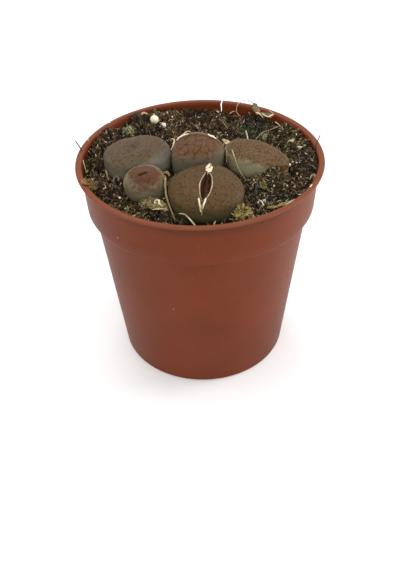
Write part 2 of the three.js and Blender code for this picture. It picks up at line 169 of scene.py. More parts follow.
def crumb_pile(x: Array, y: Array, size: float, seed: int) -> Array:
    """The top of a layer of round crumbs.

    Args:
        x: Plan coordinates along X.
        y: Plan coordinates along Y.
        size: How far apart the crumbs are.
        seed: Picks one of many such layers.

    Returns:
        A height for each point, from 0 to about the size.
    """
    best = np.zeros_like(x)
    for i, j in cells_round(x, y, size):
        centre_x = (i + 0.1 + 0.8 * hashed(i, j, 1, seed)) * size
        centre_y = (j + 0.1 + 0.8 * hashed(i, j, 2, seed)) * size
        radius = size * (0.32 + 0.42 * hashed(i, j, 3, seed))
        rise = size * 0.45 * hashed(i, j, 4, seed)
        inside = radius**2 - (x - centre_x) ** 2 - (y - centre_y) ** 2
        best = np.maximum(best, np.where(inside > 0, np.sqrt(np.maximum(inside, 0)) + rise, 0))
    return best


def net_distance(x: Array, y: Array, size: float, seed: int) -> Array:
    """How far plan points lie from the nearest line of an uneven net.

    Args:
        x: Plan coordinates along X.
        y: Plan coordinates along Y.
        size: How wide the net's meshes are.
        seed: Picks one of many such nets.

    Returns:
        A distance for each point.
    """
    nearest = np.full(x.shape, 9e9)
    second = nearest.copy()
    for i, j in cells_round(x, y, size):
        centre_x = (i + 0.15 + 0.7 * hashed(i, j, 1, seed)) * size
        centre_y = (j + 0.15 + 0.7 * hashed(i, j, 2, seed)) * size
        away = np.hypot(x - centre_x, y - centre_y)
        second = np.minimum(second, np.maximum(nearest, away))
        nearest = np.minimum(nearest, away)
    return (second - nearest) / 2


def curve_through(points: list[Point] | Array, count: int) -> Array:
    """Evenly counted points on a smooth curve.

    Args:
        points: The points that it passes through.
        count: How many points to give.

    Returns:
        One row for each point.
    """
    knots = np.asarray(points, float)
    ends = [2 * knots[0] - knots[1], *knots, 2 * knots[-1] - knots[-2]]
    padded = np.array(ends)
    place = np.linspace(0, len(knots) - 1 - 1e-9, count)
    first = place.astype(int)
    s = (place - first)[:, None]
    a, b, c, d = (padded[first + n] for n in range(4))
    return 0.5 * (2 * b + (c - a) * s + (2 * a - 5 * b + 4 * c - d) * s**2 + (3 * b - a - 3 * c + d) * s**3)


def line_distance(x: Array, y: Array, line: Array) -> Array:
    """How far plan points lie from a line of many points."""
    gaps = (x[:, None] - line[None, :, 0]) ** 2 + (y[:, None] - line[None, :, 1]) ** 2
    return np.sqrt(gaps.min(axis=1))


def step(values: Array, low: float, high: float) -> Array:
    """A soft step from 0 at low to 1 at high."""
    share = np.clip((values - low) / (high - low), 0, 1)
    return share * share * (3 - 2 * share)


def unit(vectors: Array) -> Array:
    """The vectors, each one unit long."""
    return vectors / np.maximum(np.linalg.norm(vectors, axis=-1, keepdims=True), 1e-12)


# ---- Meshes ----


@dataclass
class Shape:
    """Vertices and faces gathered for one mesh."""

    vertices: list[Array] = field(default_factory=list)
    faces: list[Array] = field(default_factory=list)
    parts: list[int] = field(default_factory=list)
    count: int = 0

    def add(self, vertices: Array, *faces: Array, part: int = 0) -> None:
        """Adds a body.

        Args:
            vertices: One row for each vertex, in millimetres.
            faces: Arrays of faces, each with one row of vertex numbers a face.
            part: The number of the finish that the body takes.
        """
        self.vertices.append(vertices)
        for rows in faces:
            self.faces.append(rows + self.count)
            self.parts.append(part)
        self.count += len(vertices)

    def build(self, name: str, finishes: list[bpy.types.Material], smooth: bool = True) -> bpy.types.Object:
        """Makes the object.

        Args:
            name: Its name.
            finishes: Its materials, in the order of the part numbers.
            smooth: Whether its faces are shaded as one smooth skin.

        Returns:
            The new object, at the frame's origin.
        """
        mesh = bpy.data.meshes.new(name)
        rows = [row for block in self.faces for row in block.tolist()]
        mesh.from_pydata((np.concatenate(self.vertices) * MM).tolist(), [], rows)
        owners = np.concatenate([np.full(len(b), p, np.int32) for b, p in zip(self.faces, self.parts)])
        mesh.polygons.foreach_set("material_index", owners)
        mesh.polygons.foreach_set("use_smooth", np.full(len(rows), smooth))
        for material in finishes:
            mesh.materials.append(material)
        mesh.update()
        made = bpy.data.objects.new(name, mesh)
        bpy.context.scene.collection.objects.link(made)
        return made


def grid_faces(rows: int, columns: int, closed: bool = False) -> Array:
    """The quads of a grid of vertices.

    Args:
        rows: How many rows of vertices there are.
        columns: How many vertices a row has.
        closed: Whether the last column joins the first.

    Returns:
        One row of four vertex numbers for each quad.
    """
    i, j = np.meshgrid(np.arange(rows - 1), np.arange(columns if closed else columns - 1), indexing="ij")
    i, j = i.ravel(), j.ravel()
    nxt = (j + 1) % columns
    corners = (i * columns + j, i * columns + nxt, (i + 1) * columns + nxt, (i + 1) * columns + j)
    return np.stack(corners, axis=1)


def fan_faces(hub: int, ring: Array) -> Array:
    """The triangles from a hub to each edge of a ring of vertices."""
    return np.stack([np.full(len(ring), hub), ring, np.roll(ring, -1)], axis=1)


def skin_of(grid: Array) -> tuple[Array, Array, Array]:
    """A closed skin from rings of points.

    Args:
        grid: Rings from the first pole to the last; the first and last ring each become one point.

    Returns:
        Its vertices, quads and end triangles.
    """
    rings, sides = grid.shape[0] - 2, grid.shape[1]
    inner = grid[1:-1].reshape(-1, 3)
    vertices = np.vstack([inner, grid[0].mean(0), grid[-1].mean(0)])
    first, last = np.arange(sides), np.arange(sides) + (rings - 1) * sides
    ends = np.vstack([fan_faces(len(inner), first[::-1]), fan_faces(len(inner) + 1, last)])
    return vertices, grid_faces(rings, sides, closed=True), ends


def tube(path: Array, radius: Array, sides: int = 8, flatness: float = 1.0) -> tuple[Array, Array, Array]:
    """A closed tube along a path.

    Args:
        path: The points that it follows.
        radius: Its radius at each point.
        sides: How many sides it has.
        flatness: Its height as a share of its width.

    Returns:
        Its vertices, quads and end triangles.
    """
    forward = unit(np.gradient(path, axis=0))
    across = np.zeros_like(path)
    guide = np.array([0.0, 0.0, 1.0]) if abs(forward[0, 2]) < 0.9 else np.array([1.0, 0.0, 0.0])
    side = np.cross(forward[0], guide)
    for n, ahead in enumerate(forward):
        side = side - ahead * np.dot(side, ahead)
        side = side / np.linalg.norm(side)
        across[n] = side
    up = np.cross(across, forward)
    turn = np.linspace(0, 2 * math.pi, sides, endpoint=False)
    ring = across[:, None] * np.cos(turn)[None, :, None] + up[:, None] * (flatness * np.sin(turn))[None, :, None]
    body = path[:, None] + ring * radius[:, None, None]
    tips = [np.repeat(p[None, None], sides, axis=1) for p in (path[0], path[-1])]
    return skin_of(np.concatenate([tips[0], body, tips[1]]))


def sheet(points: Array, thickness: Array | float) -> tuple[Array, Array]:
    """A closed thin sheet.

    Args:
        points: A grid of points on its middle.
        thickness: How thick it is, over the grid.

    Returns:
        Its vertices and quads.
    """
    rows, columns = points.shape[:2]
    normal = unit(np.cross(np.gradient(points, axis=0), np.gradient(points, axis=1)))
    offset = normal * (np.broadcast_to(thickness, (rows, columns))[..., None] / 2)
    vertices = np.concatenate([(points + offset).reshape(-1, 3), (points - offset).reshape(-1, 3)])
    top = grid_faces(rows, columns)
    below = rows * columns
    index = np.arange(below).reshape(rows, columns)
    edge = np.concatenate([index[0], index[1:, -1], index[-1, -2::-1], index[-2:0:-1, 0]])
    after = np.roll(edge, -1)
    wall = np.stack([after, edge, edge + below, after + below], axis=1)
    return vertices, np.concatenate([top, top[:, ::-1] + below, wall])


def frames_for(directions: Array, rng: np.random.Generator) -> tuple[Array, Array, Array]:
    """Axes for many small bodies.

    Args:
        directions: Which way each points.
        rng: Gives each its turn about that direction.

    Returns:
        The long, wide and thin axis of each.
    """
    long = unit(directions)
    wide = unit(np.cross(long, rng.normal(size=long.shape)))
    return long, wide, np.cross(long, wide)


def flakes(centres: Array, directions: Array, sizes: Array, rng: np.random.Generator) -> tuple[Array, Array]:
    """Many small pointed leaflets, each a closed body of eight faces.

    Args:
        centres: Their centres.
        directions: Which way each points.
        sizes: The length, width and thickness of each.
        rng: Gives each its turn.

    Returns:
        Their vertices and triangles.
    """
    long, wide, thin = frames_for(directions, rng)
    half = sizes / 2
    corners = [
        centres - long * half[:, :1],
        centres + long * half[:, :1] + thin * half[:, :1] * 0.35,
        centres - wide * half[:, 1:2],
        centres + wide * half[:, 1:2],
        centres - thin * half[:, 2:],
        centres + thin * half[:, 2:],
    ]
    vertices = np.stack(corners, axis=1).reshape(-1, 3)
    body = np.array([[0, 4, 3], [0, 3, 5], [0, 5, 2], [0, 2, 4], [1, 3, 4], [1, 5, 3], [1, 2, 5], [1, 4, 2]])
    faces = (body[None] + 6 * np.arange(len(centres))[:, None, None]).reshape(-1, 3)
    return vertices, faces


@cache
def lump_body() -> tuple[Array, Array]:
    """The twelve vertices and twenty triangles of an even lump."""
    gold = (1 + math.sqrt(5)) / 2
    rows = [(a, b * gold, 0) for a in (-1, 1) for b in (-1, 1)]
    points = np.array([tuple(np.roll(row, n)) for n in range(3) for row in rows], float)
    faces = [
        (a, b, c)
        for a, b, c in itertools.combinations(range(12), 3)
        if all(abs(np.linalg.norm(points[p] - points[q]) - 2) < 1e-6 for p, q in ((a, b), (b, c), (a, c)))
    ]
    outward = [
        (a, b, c) if np.dot(np.cross(points[b] - points[a], points[c] - points[a]), points[a]) > 0 else (a, c, b)
        for a, b, c in faces
    ]
    return unit(points), np.array(outward)


def lumps(centres: Array, sizes: Array, uneven: float, rng: np.random.Generator) -> tuple[Array, Array]:
    """Many small uneven lumps, each a closed body of twenty faces.

    Args:
        centres: Their centres.
        sizes: The three radii of each.
        uneven: How far their corners stray.
        rng: Shapes and turns each.

    Returns:
        Their vertices and triangles.
    """
    body, faces = lump_body()
    long, wide, thin = frames_for(rng.normal(size=centres.shape), rng)
    stray = 1 + uneven * (rng.random((len(centres), len(body), 1)) - 0.5)
    local = body[None] * sizes[:, None, :] * stray
    turned = local[..., :1] * long[:, None] + local[..., 1:2] * wide[:, None] + local[..., 2:] * thin[:, None]
    vertices = (centres[:, None] + turned).reshape(-1, 3)
    return vertices, (faces[None] + len(body) * np.arange(len(centres))[:, None, None]).reshape(-1, 3)


def fibres(paths: Array, radius: Array) -> tuple[Array, Array]:
    """Many fine three-sided fibres, each a closed body with pointed ends.

    Args:
        paths: For each fibre, the points that it follows.
        radius: The radius of each.

    Returns:
        Their vertices and triangles.
    """
    count, steps = paths.shape[:2]
    forward = unit(np.gradient(paths, axis=1))
    across = unit(np.cross(forward, np.array([0.13, 0.21, 1.0])))
    up = np.cross(across, forward)
    inner = paths[:, 1:-1]
    rings = [
        inner + radius[:, None, None] * (across[:, 1:-1] * math.cos(a) + up[:, 1:-1] * math.sin(a))
        for a in (0.5, 2.6, 4.7)
    ]
    bodies = np.concatenate([np.stack(rings, axis=2).reshape(count, -1, 3), paths[:, :1], paths[:, -1:]], axis=1)
    quads = grid_faces(steps - 2, 3, closed=True)
    sides = np.concatenate([quads[:, [0, 1, 2]], quads[:, [0, 2, 3]]])
    hub = 3 * (steps - 2)
    ends = np.concatenate([fan_faces(hub, np.array([2, 1, 0])), fan_faces(hub + 1, hub - 3 + np.arange(3))])
    body = np.concatenate([sides, ends])
    faces = (body[None] + (hub + 2) * np.arange(count)[:, None, None]).reshape(-1, 3)
    return bodies.reshape(-1, 3), faces


def carve(target: bpy.types.Object, *cutters: bpy.types.Object) -> None:
    """Cuts bodies out of an object, and removes them.

    Args:
        target: The object that is cut.
        cutters: The bodies that are cut out of it.
    """
    for cutter in cutters:
        cut = target.modifiers.new("cut", "BOOLEAN")
        cut.operation, cut.solver, cut.object = "DIFFERENCE", "EXACT", cutter
    seen = bpy.context.evaluated_depsgraph_get()
    mesh = bpy.data.meshes.new_from_object(target.evaluated_get(seen))
    target.modifiers.clear()
    target.data = mesh
    for cutter in cutters:
        bpy.data.objects.remove(cutter)


def seat(piece: bpy.types.Object, slot: Slot, *nodes: str) -> bpy.types.Object:
    """Fixes a piece to the part and reports it.

    Args:
        piece: The piece.
        slot: The piece's material slot; not used.
        nodes: The solids that it stands for.

    Returns:
        The same piece.
    """
    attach(piece, "root")
    if nodes:
        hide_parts(*nodes)
    log.info("%s: %d faces", piece.name, len(piece.data.polygons))
    return piece


# ---- Shader graphs ----

Value = bpy.types.NodeSocket | float
Mixed = bpy.types.NodeSocket | Colour


class Graph:
    """Adds nodes to a tree and links them."""

    def __init__(self, tree: bpy.types.NodeTree) -> None:
        """Takes the tree to work on."""
        self.tree = tree

    def add(self, kind: str, inputs: dict | None = None, **settings: object) -> bpy.types.Node:
        """Adds a node.

        Args:
            kind: Its type, without the leading ShaderNode.
            inputs: Values or linked sockets, by the input's name or number.
            settings: Properties to set on the node.

        Returns:
            The node.
        """
        node = self.tree.nodes.new("ShaderNode" + kind)
        for name, value in settings.items():
            setattr(node, name, value)
        for key, value in (inputs or {}).items():
            if isinstance(value, bpy.types.NodeSocket):
                self.tree.links.new(value, node.inputs[key])
            else:
                node.inputs[key].default_value = value
        return node

    def effect(self, group: bpy.types.NodeTree, **inputs: Value) -> bpy.types.NodeSocket:
        """Places a shared effect and gives its output."""
        return self.add("Group", {key.replace("_", " "): v for key, v in inputs.items()}, node_tree=group).outputs[0]

    def maths(self, operation: str, first: Value, second: Value = 0.0) -> bpy.types.NodeSocket:
        """The result of a sum on two values."""
        return self.add("Math", {0: first, 1: second}, operation=operation).outputs[0]

    def between(self, value: Value, low: float, high: float) -> bpy.types.NodeSocket:
        """A soft mask: 0 where the value is at low, 1 where it is at high."""
        inputs = {"Value": value, "From Min": low, "From Max": high}
        return self.add("MapRange", inputs, interpolation_type="SMOOTHSTEP").outputs[0]

    def scaled(self, value: Value, low: Value, high: Value) -> bpy.types.NodeSocket:
        """A value from 0 to 1 stretched to run from low to high."""
        return self.add("MapRange", {"Value": value, "To Min": low, "To Max": high}).outputs[0]

    def blend(self, share: Value, under: Mixed, over: Mixed, mode: str = "MIX") -> bpy.types.NodeSocket:
        """One colour laid over another by a share."""
        return self.add("Mix", {0: share, 6: under, 7: over}, data_type="RGBA", blend_type=mode).outputs[2]

    def ramp(self, value: Value, *stops: tuple[float, Colour]) -> bpy.types.NodeSocket:
        """A colour picked from a run of stops by a value."""
        node = self.add("ValToRGB", {0: value})
        marks = node.color_ramp.elements
        for n, (place, colour) in enumerate(stops):
            mark = marks[n] if n < 2 else marks.new(place)
            mark.position, mark.color = place, colour
        return node.outputs[0]

    def attribute(self, name: str) -> bpy.types.NodeSocket:
        """A value that the mesh carries at each vertex."""
        return self.add("Attribute", attribute_name=name).outputs["Fac"]

    def place(self) -> bpy.types.NodeSocket:
        """Where the surface lies, in millimetres."""
        spot = self.add("TexCoord").outputs["Object"]
        return self.add("VectorMath", {0: spot, "Scale": 1 / MM}, operation="SCALE").outputs[0]

    def axis(self, which: str) -> bpy.types.NodeSocket:
        """One coordinate of the place, in millimetres."""
        return self.add("SeparateXYZ", {0: self.place()}).outputs[which]

    def island(self) -> bpy.types.NodeSocket:
        """A number from 0 to 1 that differs from one loose body to the next."""
        return self.add("NewGeometry").outputs["Random Per Island"]

    def bump(self, height: Value, depth: float, strength: float = 1.0) -> bpy.types.NodeSocket:
        """A normal from a height; depth is in millimetres."""
        return self.add("Bump", {"Height": height, "Distance": depth * MM, "Strength": strength}).outputs[0]

    def surface(self, colour: Mixed, roughness: Value, normal: Value | None = None, **fixed: float | tuple) -> None:
        """Ends a material in a Principled shader.

        Args:
            colour: The base colour.
            roughness: The roughness.
            normal: The bumped normal, if there is one.
            fixed: Other inputs, which are the same all over the surface.
        """
        inputs = {"Base Color": colour, "Roughness": roughness}
        if normal is not None:
            inputs["Normal"] = normal
        inputs |= {key.replace("_", " "): v for key, v in fixed.items()}
        shader = self.add("BsdfPrincipled", inputs)
        self.add("OutputMaterial", {"Surface": shader.outputs[0]})


def new_group(name: str, output: str, **inputs: float) -> tuple[bpy.types.NodeTree, Graph, bpy.types.Node]:
    """Starts a shared effect with one output value.

    Args:
        name: Its name.
        output: Its output's name.
        inputs: Its inputs and their usual values.

    Returns:
        The group, a graph on it, and the node that holds its inputs.
    """
    group = bpy.data.node_groups.new(name, "ShaderNodeTree")
    for key, usual in inputs.items():
        socket = group.interface.new_socket(key.replace("_", " "), in_out="INPUT", socket_type="NodeSocketFloat")
        socket.default_value = usual
    group.interface.new_socket(output, in_out="OUTPUT", socket_type="NodeSocketFloat")
    graph = Graph(group)
    given = group.nodes.new("NodeGroupInput")
    return group, graph, given


def end_group(graph: Graph, result: bpy.types.NodeSocket) -> None:
    """Links the result to the group's output."""
    graph.tree.links.new(result, graph.tree.nodes.new("NodeGroupOutput").inputs[0])


@cache
def mottle() -> bpy.types.NodeTree:
    """Soft patches: Size in millimetres, Detail, and Low and High, the noise levels that become 0 and 1."""
    group, graph, given = new_group("soft_mottle", "Value", Size=3.0, Detail=3.0, Low=0.35, High=0.65, Shift=0.0)
    spot = graph.add("VectorMath", {0: graph.place(), 1: given.outputs["Shift"]}, operation="ADD").outputs[0]
    scale = graph.maths("DIVIDE", 1.0, given.outputs["Size"])
    noise = graph.add("TexNoise", {"Vector": spot, "Scale": scale, "Detail": given.outputs["Detail"]})
    inputs = {"Value": noise.outputs[0], "From Min": given.outputs["Low"], "From Max": given.outputs["High"]}
    end_group(graph, graph.add("MapRange", inputs).outputs[0])
    return group


@cache
def specks() -> bpy.types.NodeTree:
    """Scattered uneven dots: Size, how far apart; Share, how many of the places hold one; Radius, as a share of Size."""
    group, graph, given = new_group("scattered_specks", "Mask", Size=2.0, Share=0.5, Radius=0.2, Ragged=0.3)
    scale = graph.maths("DIVIDE", 1.0, given.outputs["Size"])
    place = graph.place()
    wander = graph.add("TexNoise", {"Vector": place, "Scale": graph.maths("MULTIPLY", scale, 2.5), "Detail": 2.0})
    push = graph.add("VectorMath", {0: wander.outputs[1], 1: (0.5, 0.5, 0.5)}, operation="SUBTRACT").outputs[0]
    reach = graph.maths("MULTIPLY", given.outputs["Ragged"], given.outputs["Size"])
    push = graph.add("VectorMath", {0: push, "Scale": reach}, operation="SCALE").outputs[0]
    spot = graph.add("VectorMath", {0: place, 1: push}, operation="ADD").outputs[0]
    dots = graph.add("TexVoronoi", {"Vector": spot, "Scale": scale})
    chance = graph.add("SeparateXYZ", {0: dots.outputs["Color"]}).outputs[0]
    kept = graph.maths("LESS_THAN", chance, given.outputs["Share"])
    share = graph.maths("DIVIDE", dots.outputs["Distance"], given.outputs["Radius"])
    end_group(graph, graph.maths("MULTIPLY", kept, graph.between(share, 1.0, 0.6)))
    return group


@cache
def grain() -> bpy.types.NodeTree:
    """A fine uneven surface: Size in millimetres; Pits, how much of it is pits and how much soft noise."""
    group, graph, given = new_group("fine_grain", "Height", Size=0.3, Pits=0.3)
    scale = graph.maths("DIVIDE", 1.0, given.outputs["Size"])
    place = graph.place()
    soft = graph.add("TexNoise", {"Vector": place, "Scale": scale, "Detail": 4.0}).outputs[0]
    pits = graph.add("TexVoronoi", {"Vector": place, "Scale": graph.maths("MULTIPLY", scale, 1.7)}).outputs["Distance"]
    end_group(graph, graph.add("Mix", {0: given.outputs["Pits"], 2: soft, 3: pits}).outputs[0])
    return group


@cache
def dust() -> bpy.types.NodeTree:
    """Dust that settles where the surface looks up: Amount, and Size of its patches in millimetres."""
    group, graph, given = new_group("settled_dust", "Mask", Amount=0.3, Size=4.0)
    up = graph.add("SeparateXYZ", {0: graph.add("NewGeometry").outputs["Normal"]}).outputs["Z"]
    facing = graph.between(up, -0.1, 0.9)
    patches = graph.effect(mottle(), Size=given.outputs["Size"], Detail=5.0, Low=0.3, High=0.7)
    end_group(graph, graph.maths("MULTIPLY", graph.maths("MULTIPLY", facing, patches), given.outputs["Amount"]))
    return group


def new_material(name: str) -> tuple[bpy.types.Material, Graph]:
    """An empty node material and a graph on it."""
    material = bpy.data.materials.new(name)
    material.use_nodes = True
    material.node_tree.nodes.clear()
    return material, Graph(material.node_tree)


# ---- Finishes ----


@dataclass(frozen=True)
class MouldedPlastic:
    """Satin terracotta plastic with flow marks and dust specks, a painted highlight along the lip's top, a painted
    shadow in the channel under the lip, and dark smears inside the mouth that are partly soil and partly painted shade.
    """

    colour: Colour = tint(0x6A2E13)
    deep: Colour = tint(0x602A10)
    # Lighter colour for scuffs and dust, and for a painted highlight on the lip's top.
    worn_and_highlight: Colour = tint(0x834E34)
    pale: Colour = tint(0xE6CDBE)
    # Dark colour for dirt specks, and for painted shade in the channel under the lip and on the inner wall.
    soiled_and_shade: Colour = tint(0x3A1A0E)
    roughness: float = 0.46

    def material(self) -> bpy.types.Material:
        """Builds the finish."""
        made, graph = new_material("moulded_terracotta_plastic")
        flow = graph.effect(mottle(), Size=18.0, Detail=4.0, Low=0.3, High=0.7)
        colour = graph.blend(flow, self.colour, self.deep)
        scuffs = graph.effect(mottle(), Size=2.2, Detail=8.0, Low=0.6, High=0.78)
        colour = graph.blend(graph.maths("MULTIPLY", scuffs, 0.22), colour, self.worn_and_highlight)
        film = graph.effect(dust(), Amount=0.25, Size=5.0)
        colour = graph.blend(film, colour, self.worn_and_highlight)
        dots = graph.effect(specks(), Size=5.5, Share=0.3, Radius=0.045)
        colour = graph.blend(graph.maths("MULTIPLY", dots, 0.75), colour, self.pale)
        dark = graph.effect(specks(), Size=5.0, Share=0.35, Radius=0.045)
        colour = graph.blend(graph.maths("MULTIPLY", dark, 0.7), colour, self.soiled_and_shade)
        inside = graph.attribute("inside")
        # Painted highlight: the lip's top is lightened where it catches the light.
        colour = graph.blend(graph.maths("MULTIPLY", graph.attribute("lip"), 0.4), colour, self.worn_and_highlight)
        # Painted shadow: a dark line in the channel under the lip.
        colour = graph.blend(graph.maths("MULTIPLY", graph.attribute("under_lip_shade"), 0.6), colour, self.soiled_and_shade)
        # Soil smears and painted shade on the inner wall near the soil, stronger towards the right front.
        smudges_and_shade = graph.effect(mottle(), Size=2.5, Detail=6.0, Low=0.42, High=0.62)
        colour = graph.blend(graph.maths("MULTIPLY", graph.maths("MULTIPLY", inside, smudges_and_shade), 0.7), colour, self.soiled_and_shade)
        roughness = graph.scaled(graph.maths("ADD", scuffs, film), self.roughness, self.roughness + 0.18)
        height = graph.effect(grain(), Size=0.5, Pits=0.3)
        graph.surface(colour, roughness, graph.bump(height, 0.045), Specular_IOR_Level=0.13)
        return made


@dataclass(frozen=True)
class PeatFinish:
    """Peat: brown crumbs and lighter dry ones; painted shade turns the hollows between crumbs near black, and zones
    from the mesh darken it for moist ground and, as painted shade, in the gaps by the heads and the wall.
    """

    name: str = "peat"
    dark: Colour = tint(0x0E0905)
    middle: Colour = tint(0x35240F)
    dry: Colour = tint(0x7C6442)
    wet_and_shaded: Colour = tint(0x0E0C07)
    single: bool = False

    def material(self) -> bpy.types.Material:
        """Builds the finish."""
        made, graph = new_material(self.name)
        patches = graph.effect(mottle(), Size=0.9, Detail=4.0, Low=0.3, High=0.72)
        level = graph.maths("MULTIPLY", patches, 0.8)
        if self.single:
            shade = graph.maths("POWER", graph.island(), 1.5)
            level = graph.maths("ADD", graph.maths("MULTIPLY", shade, 0.85), graph.maths("MULTIPLY", patches, 0.2))
        else:
            # Painted shade: the colour goes near black in the hollows between crumbs and lighter on raised crumbs.
            level = graph.maths("MULTIPLY", level, graph.scaled(graph.attribute("crumb_height_shade"), 0.15, 1.15))
        colour = graph.ramp(level, (0.0, self.dark), (1.0, self.dry), (0.45, self.middle))
        bits = graph.effect(specks(), Size=1.1, Share=0.3, Radius=0.28)
        colour = graph.blend(graph.maths("MULTIPLY", bits, 0.35), colour, self.dry)
        # Darker colour from the zones: moist ground, and painted shade in the gaps by the heads and against the wall.
        damp_and_shade = graph.attribute("damp_and_shade")
        colour = graph.blend(graph.maths("MULTIPLY", damp_and_shade, 0.6), colour, self.wet_and_shaded)
        roughness = graph.scaled(damp_and_shade, 0.95, 0.55)
        height = graph.effect(grain(), Size=0.22, Pits=0.5)
        graph.surface(colour, roughness, graph.bump(height, 0.12), Specular_IOR_Level=0.3)
        return made


@dataclass(frozen=True)
class Fragments:
    """Small loose bits, each of its own shade from a run of colours."""

    name: str
    colours: tuple[Colour, ...]
    roughness: float = 0.85
    grain_size: float = 0.2

    def material(self) -> bpy.types.Material:
        """Builds the finish."""
        made, graph = new_material(self.name)
        stops = [(n / (len(self.colours) - 1), colour) for n, colour in enumerate(self.colours)]
        colour = graph.ramp(graph.island(), stops[0], stops[-1], *stops[1:-1])
        shade = graph.effect(mottle(), Size=0.5, Detail=3.0, Low=0.3, High=0.7)
        colour = graph.blend(graph.maths("MULTIPLY", shade, 0.45), colour, self.colours[0])
        height = graph.effect(grain(), Size=self.grain_size, Pits=0.4)
        graph.surface(colour, self.roughness, graph.bump(height, 0.05), Specular_IOR_Level=0.35)
        return made


@dataclass(frozen=True)
class StoneSkin:
    """The skin of a living stone: a mottled window on top, with broken veins and dots, and plain waxy sides.

    The mesh says how far up the window each point is (open), how near a vein (vein), how deep in a fissure or dimple
    (fissure), which is painted darker as painted shade, with the dimples' own purple-brown tone, and how pale (pale): a
    paler rear lobe on one head and a painted sheen at the far end of another.
    """

    name: str
    window: Colour
    window_warm: Colour
    side: Colour
    foot: Colour
    vein: Colour
    vein_width: float = 0.2
    vein_strength: float = 0.6
    vein_kept: float = 0.5
    vein_piece: float = 0.7
    dot_size: float = 1.5
    dot_share: float = 0.5
    dot_strength: float = 0.5
    edge: tuple[float, float] = (1.0, 1.35)
    ragged: float = 0.25
    bloom: float = 0.15
    fissure_shade: float = 0.75
    # Dark colour for painted shade in fissures, dimples and at the soil line, along with the soil's own stain there and
    # the dimples' purple-brown tone.
    stain_and_shade: Colour = tint(0x2A2117)
    wax: Colour = tint(0x9A9488)
    # Colour of the pale mask: a rear lobe's paler tone on one head, a painted sheen on another.
    rim: Colour = tint(0x8E7B6B)

    def window_colour(self, graph: Graph) -> bpy.types.NodeSocket:
        """The colour of the window, with its veins."""
        patches = graph.effect(mottle(), Size=3.4, Detail=5.0, Low=0.32, High=0.68)
        window = graph.blend(patches, self.window, self.window_warm)
        fine = graph.effect(mottle(), Size=0.6, Detail=3.0, Low=0.3, High=0.75, Shift=9.0)
        window = graph.blend(graph.maths("MULTIPLY", fine, 0.22), window, self.vein)
        level = 0.5 + 0.3 * (0.5 - self.vein_kept)
        breaks = graph.effect(mottle(), Size=self.vein_piece, Detail=2.0, Low=level - 0.03, High=level + 0.05)
        line = graph.between(graph.attribute("vein"), self.vein_width, self.vein_width * 0.3)
        veins = graph.maths("MULTIPLY", graph.maths("MULTIPLY", line, breaks), self.vein_strength)
        return graph.blend(veins, window, self.vein)

    def flank_colour(self, graph: Graph) -> bpy.types.NodeSocket:
        """The colour of the sides, darker towards the foot."""
        clouds = graph.effect(mottle(), Size=4.0, Detail=4.0, Low=0.3, High=0.7)
        flank = graph.blend(graph.maths("MULTIPLY", clouds, 0.4), self.side, self.foot)
        return graph.blend(graph.between(graph.attribute("climb"), 0.7, 0.0), flank, self.foot)

    def material(self) -> bpy.types.Material:
        """Builds the finish."""
        made, graph = new_material(self.name)
        climb = graph.attribute("climb")
        wander = graph.effect(mottle(), Size=1.3, Detail=5.0, Low=0.2, High=0.8)
        level = graph.maths("ADD", graph.attribute("open"), graph.scaled(wander, -self.ragged, self.ragged))
        colour = graph.blend(graph.between(level, *self.edge), self.flank_colour(graph), self.window_colour(graph))
        dots = graph.effect(specks(), Size=self.dot_size, Share=self.dot_share, Radius=0.2, Ragged=0.8)
        dotted = graph.maths("MULTIPLY", graph.between(climb, 0.6, 1.0), self.dot_strength)
        colour = graph.blend(graph.maths("MULTIPLY", dots, dotted), colour, self.vein)
        # The pale mask: a paler rear lobe, and a painted sheen at one head's far end.
        colour = graph.blend(graph.maths("MULTIPLY", graph.attribute("pale"), 0.7), colour, self.rim)
        colour = graph.blend(graph.effect(dust(), Amount=self.bloom, Size=6.0), colour, self.wax)
        # A darker band at the soil line: partly soil stain, partly painted shade where the head meets the peat.
        damp_and_shade = graph.between(graph.maths("ADD", climb, graph.scaled(wander, 0.0, 0.15)), 0.2, 0.02)
        colour = graph.blend(graph.maths("MULTIPLY", damp_and_shade, 0.6), colour, self.stain_and_shade)
        # Painted shade: the fissure and the dimples are darkened, the dimples partly for their own purple-brown tone.
        deep = graph.maths("MULTIPLY", graph.attribute("fissure"), self.fissure_shade)
        colour = graph.blend(deep, colour, self.stain_and_shade)
        roughness = graph.scaled(wander, 0.52, 0.64)
        height = graph.effect(grain(), Size=0.35, Pits=0.35)
        graph.surface(colour, roughness, graph.bump(height, 0.04), Specular_IOR_Level=0.14)
        return made


@dataclass(frozen=True)
class Flesh:
    """The dark, moist flesh inside an open split."""

    colour: Colour = tint(0x402414)
    bright: Colour = tint(0x5C3820)
    deep: Colour = tint(0x140A06)

    def material(self) -> bpy.types.Material:
        """Builds the finish."""
        made, graph = new_material("split_flesh")
        patches = graph.effect(mottle(), Size=1.1, Detail=4.0, Low=0.35, High=0.7)
        colour = graph.blend(patches, self.colour, self.bright)
        spots = graph.effect(specks(), Size=0.8, Share=0.5, Radius=0.3)
        colour = graph.blend(graph.maths("MULTIPLY", spots, 0.5), colour, self.deep)
        height = graph.effect(grain(), Size=0.3, Pits=0.4)
        graph.surface(colour, 0.55, graph.bump(height, 0.05), Specular_IOR_Level=0.3)
        return made


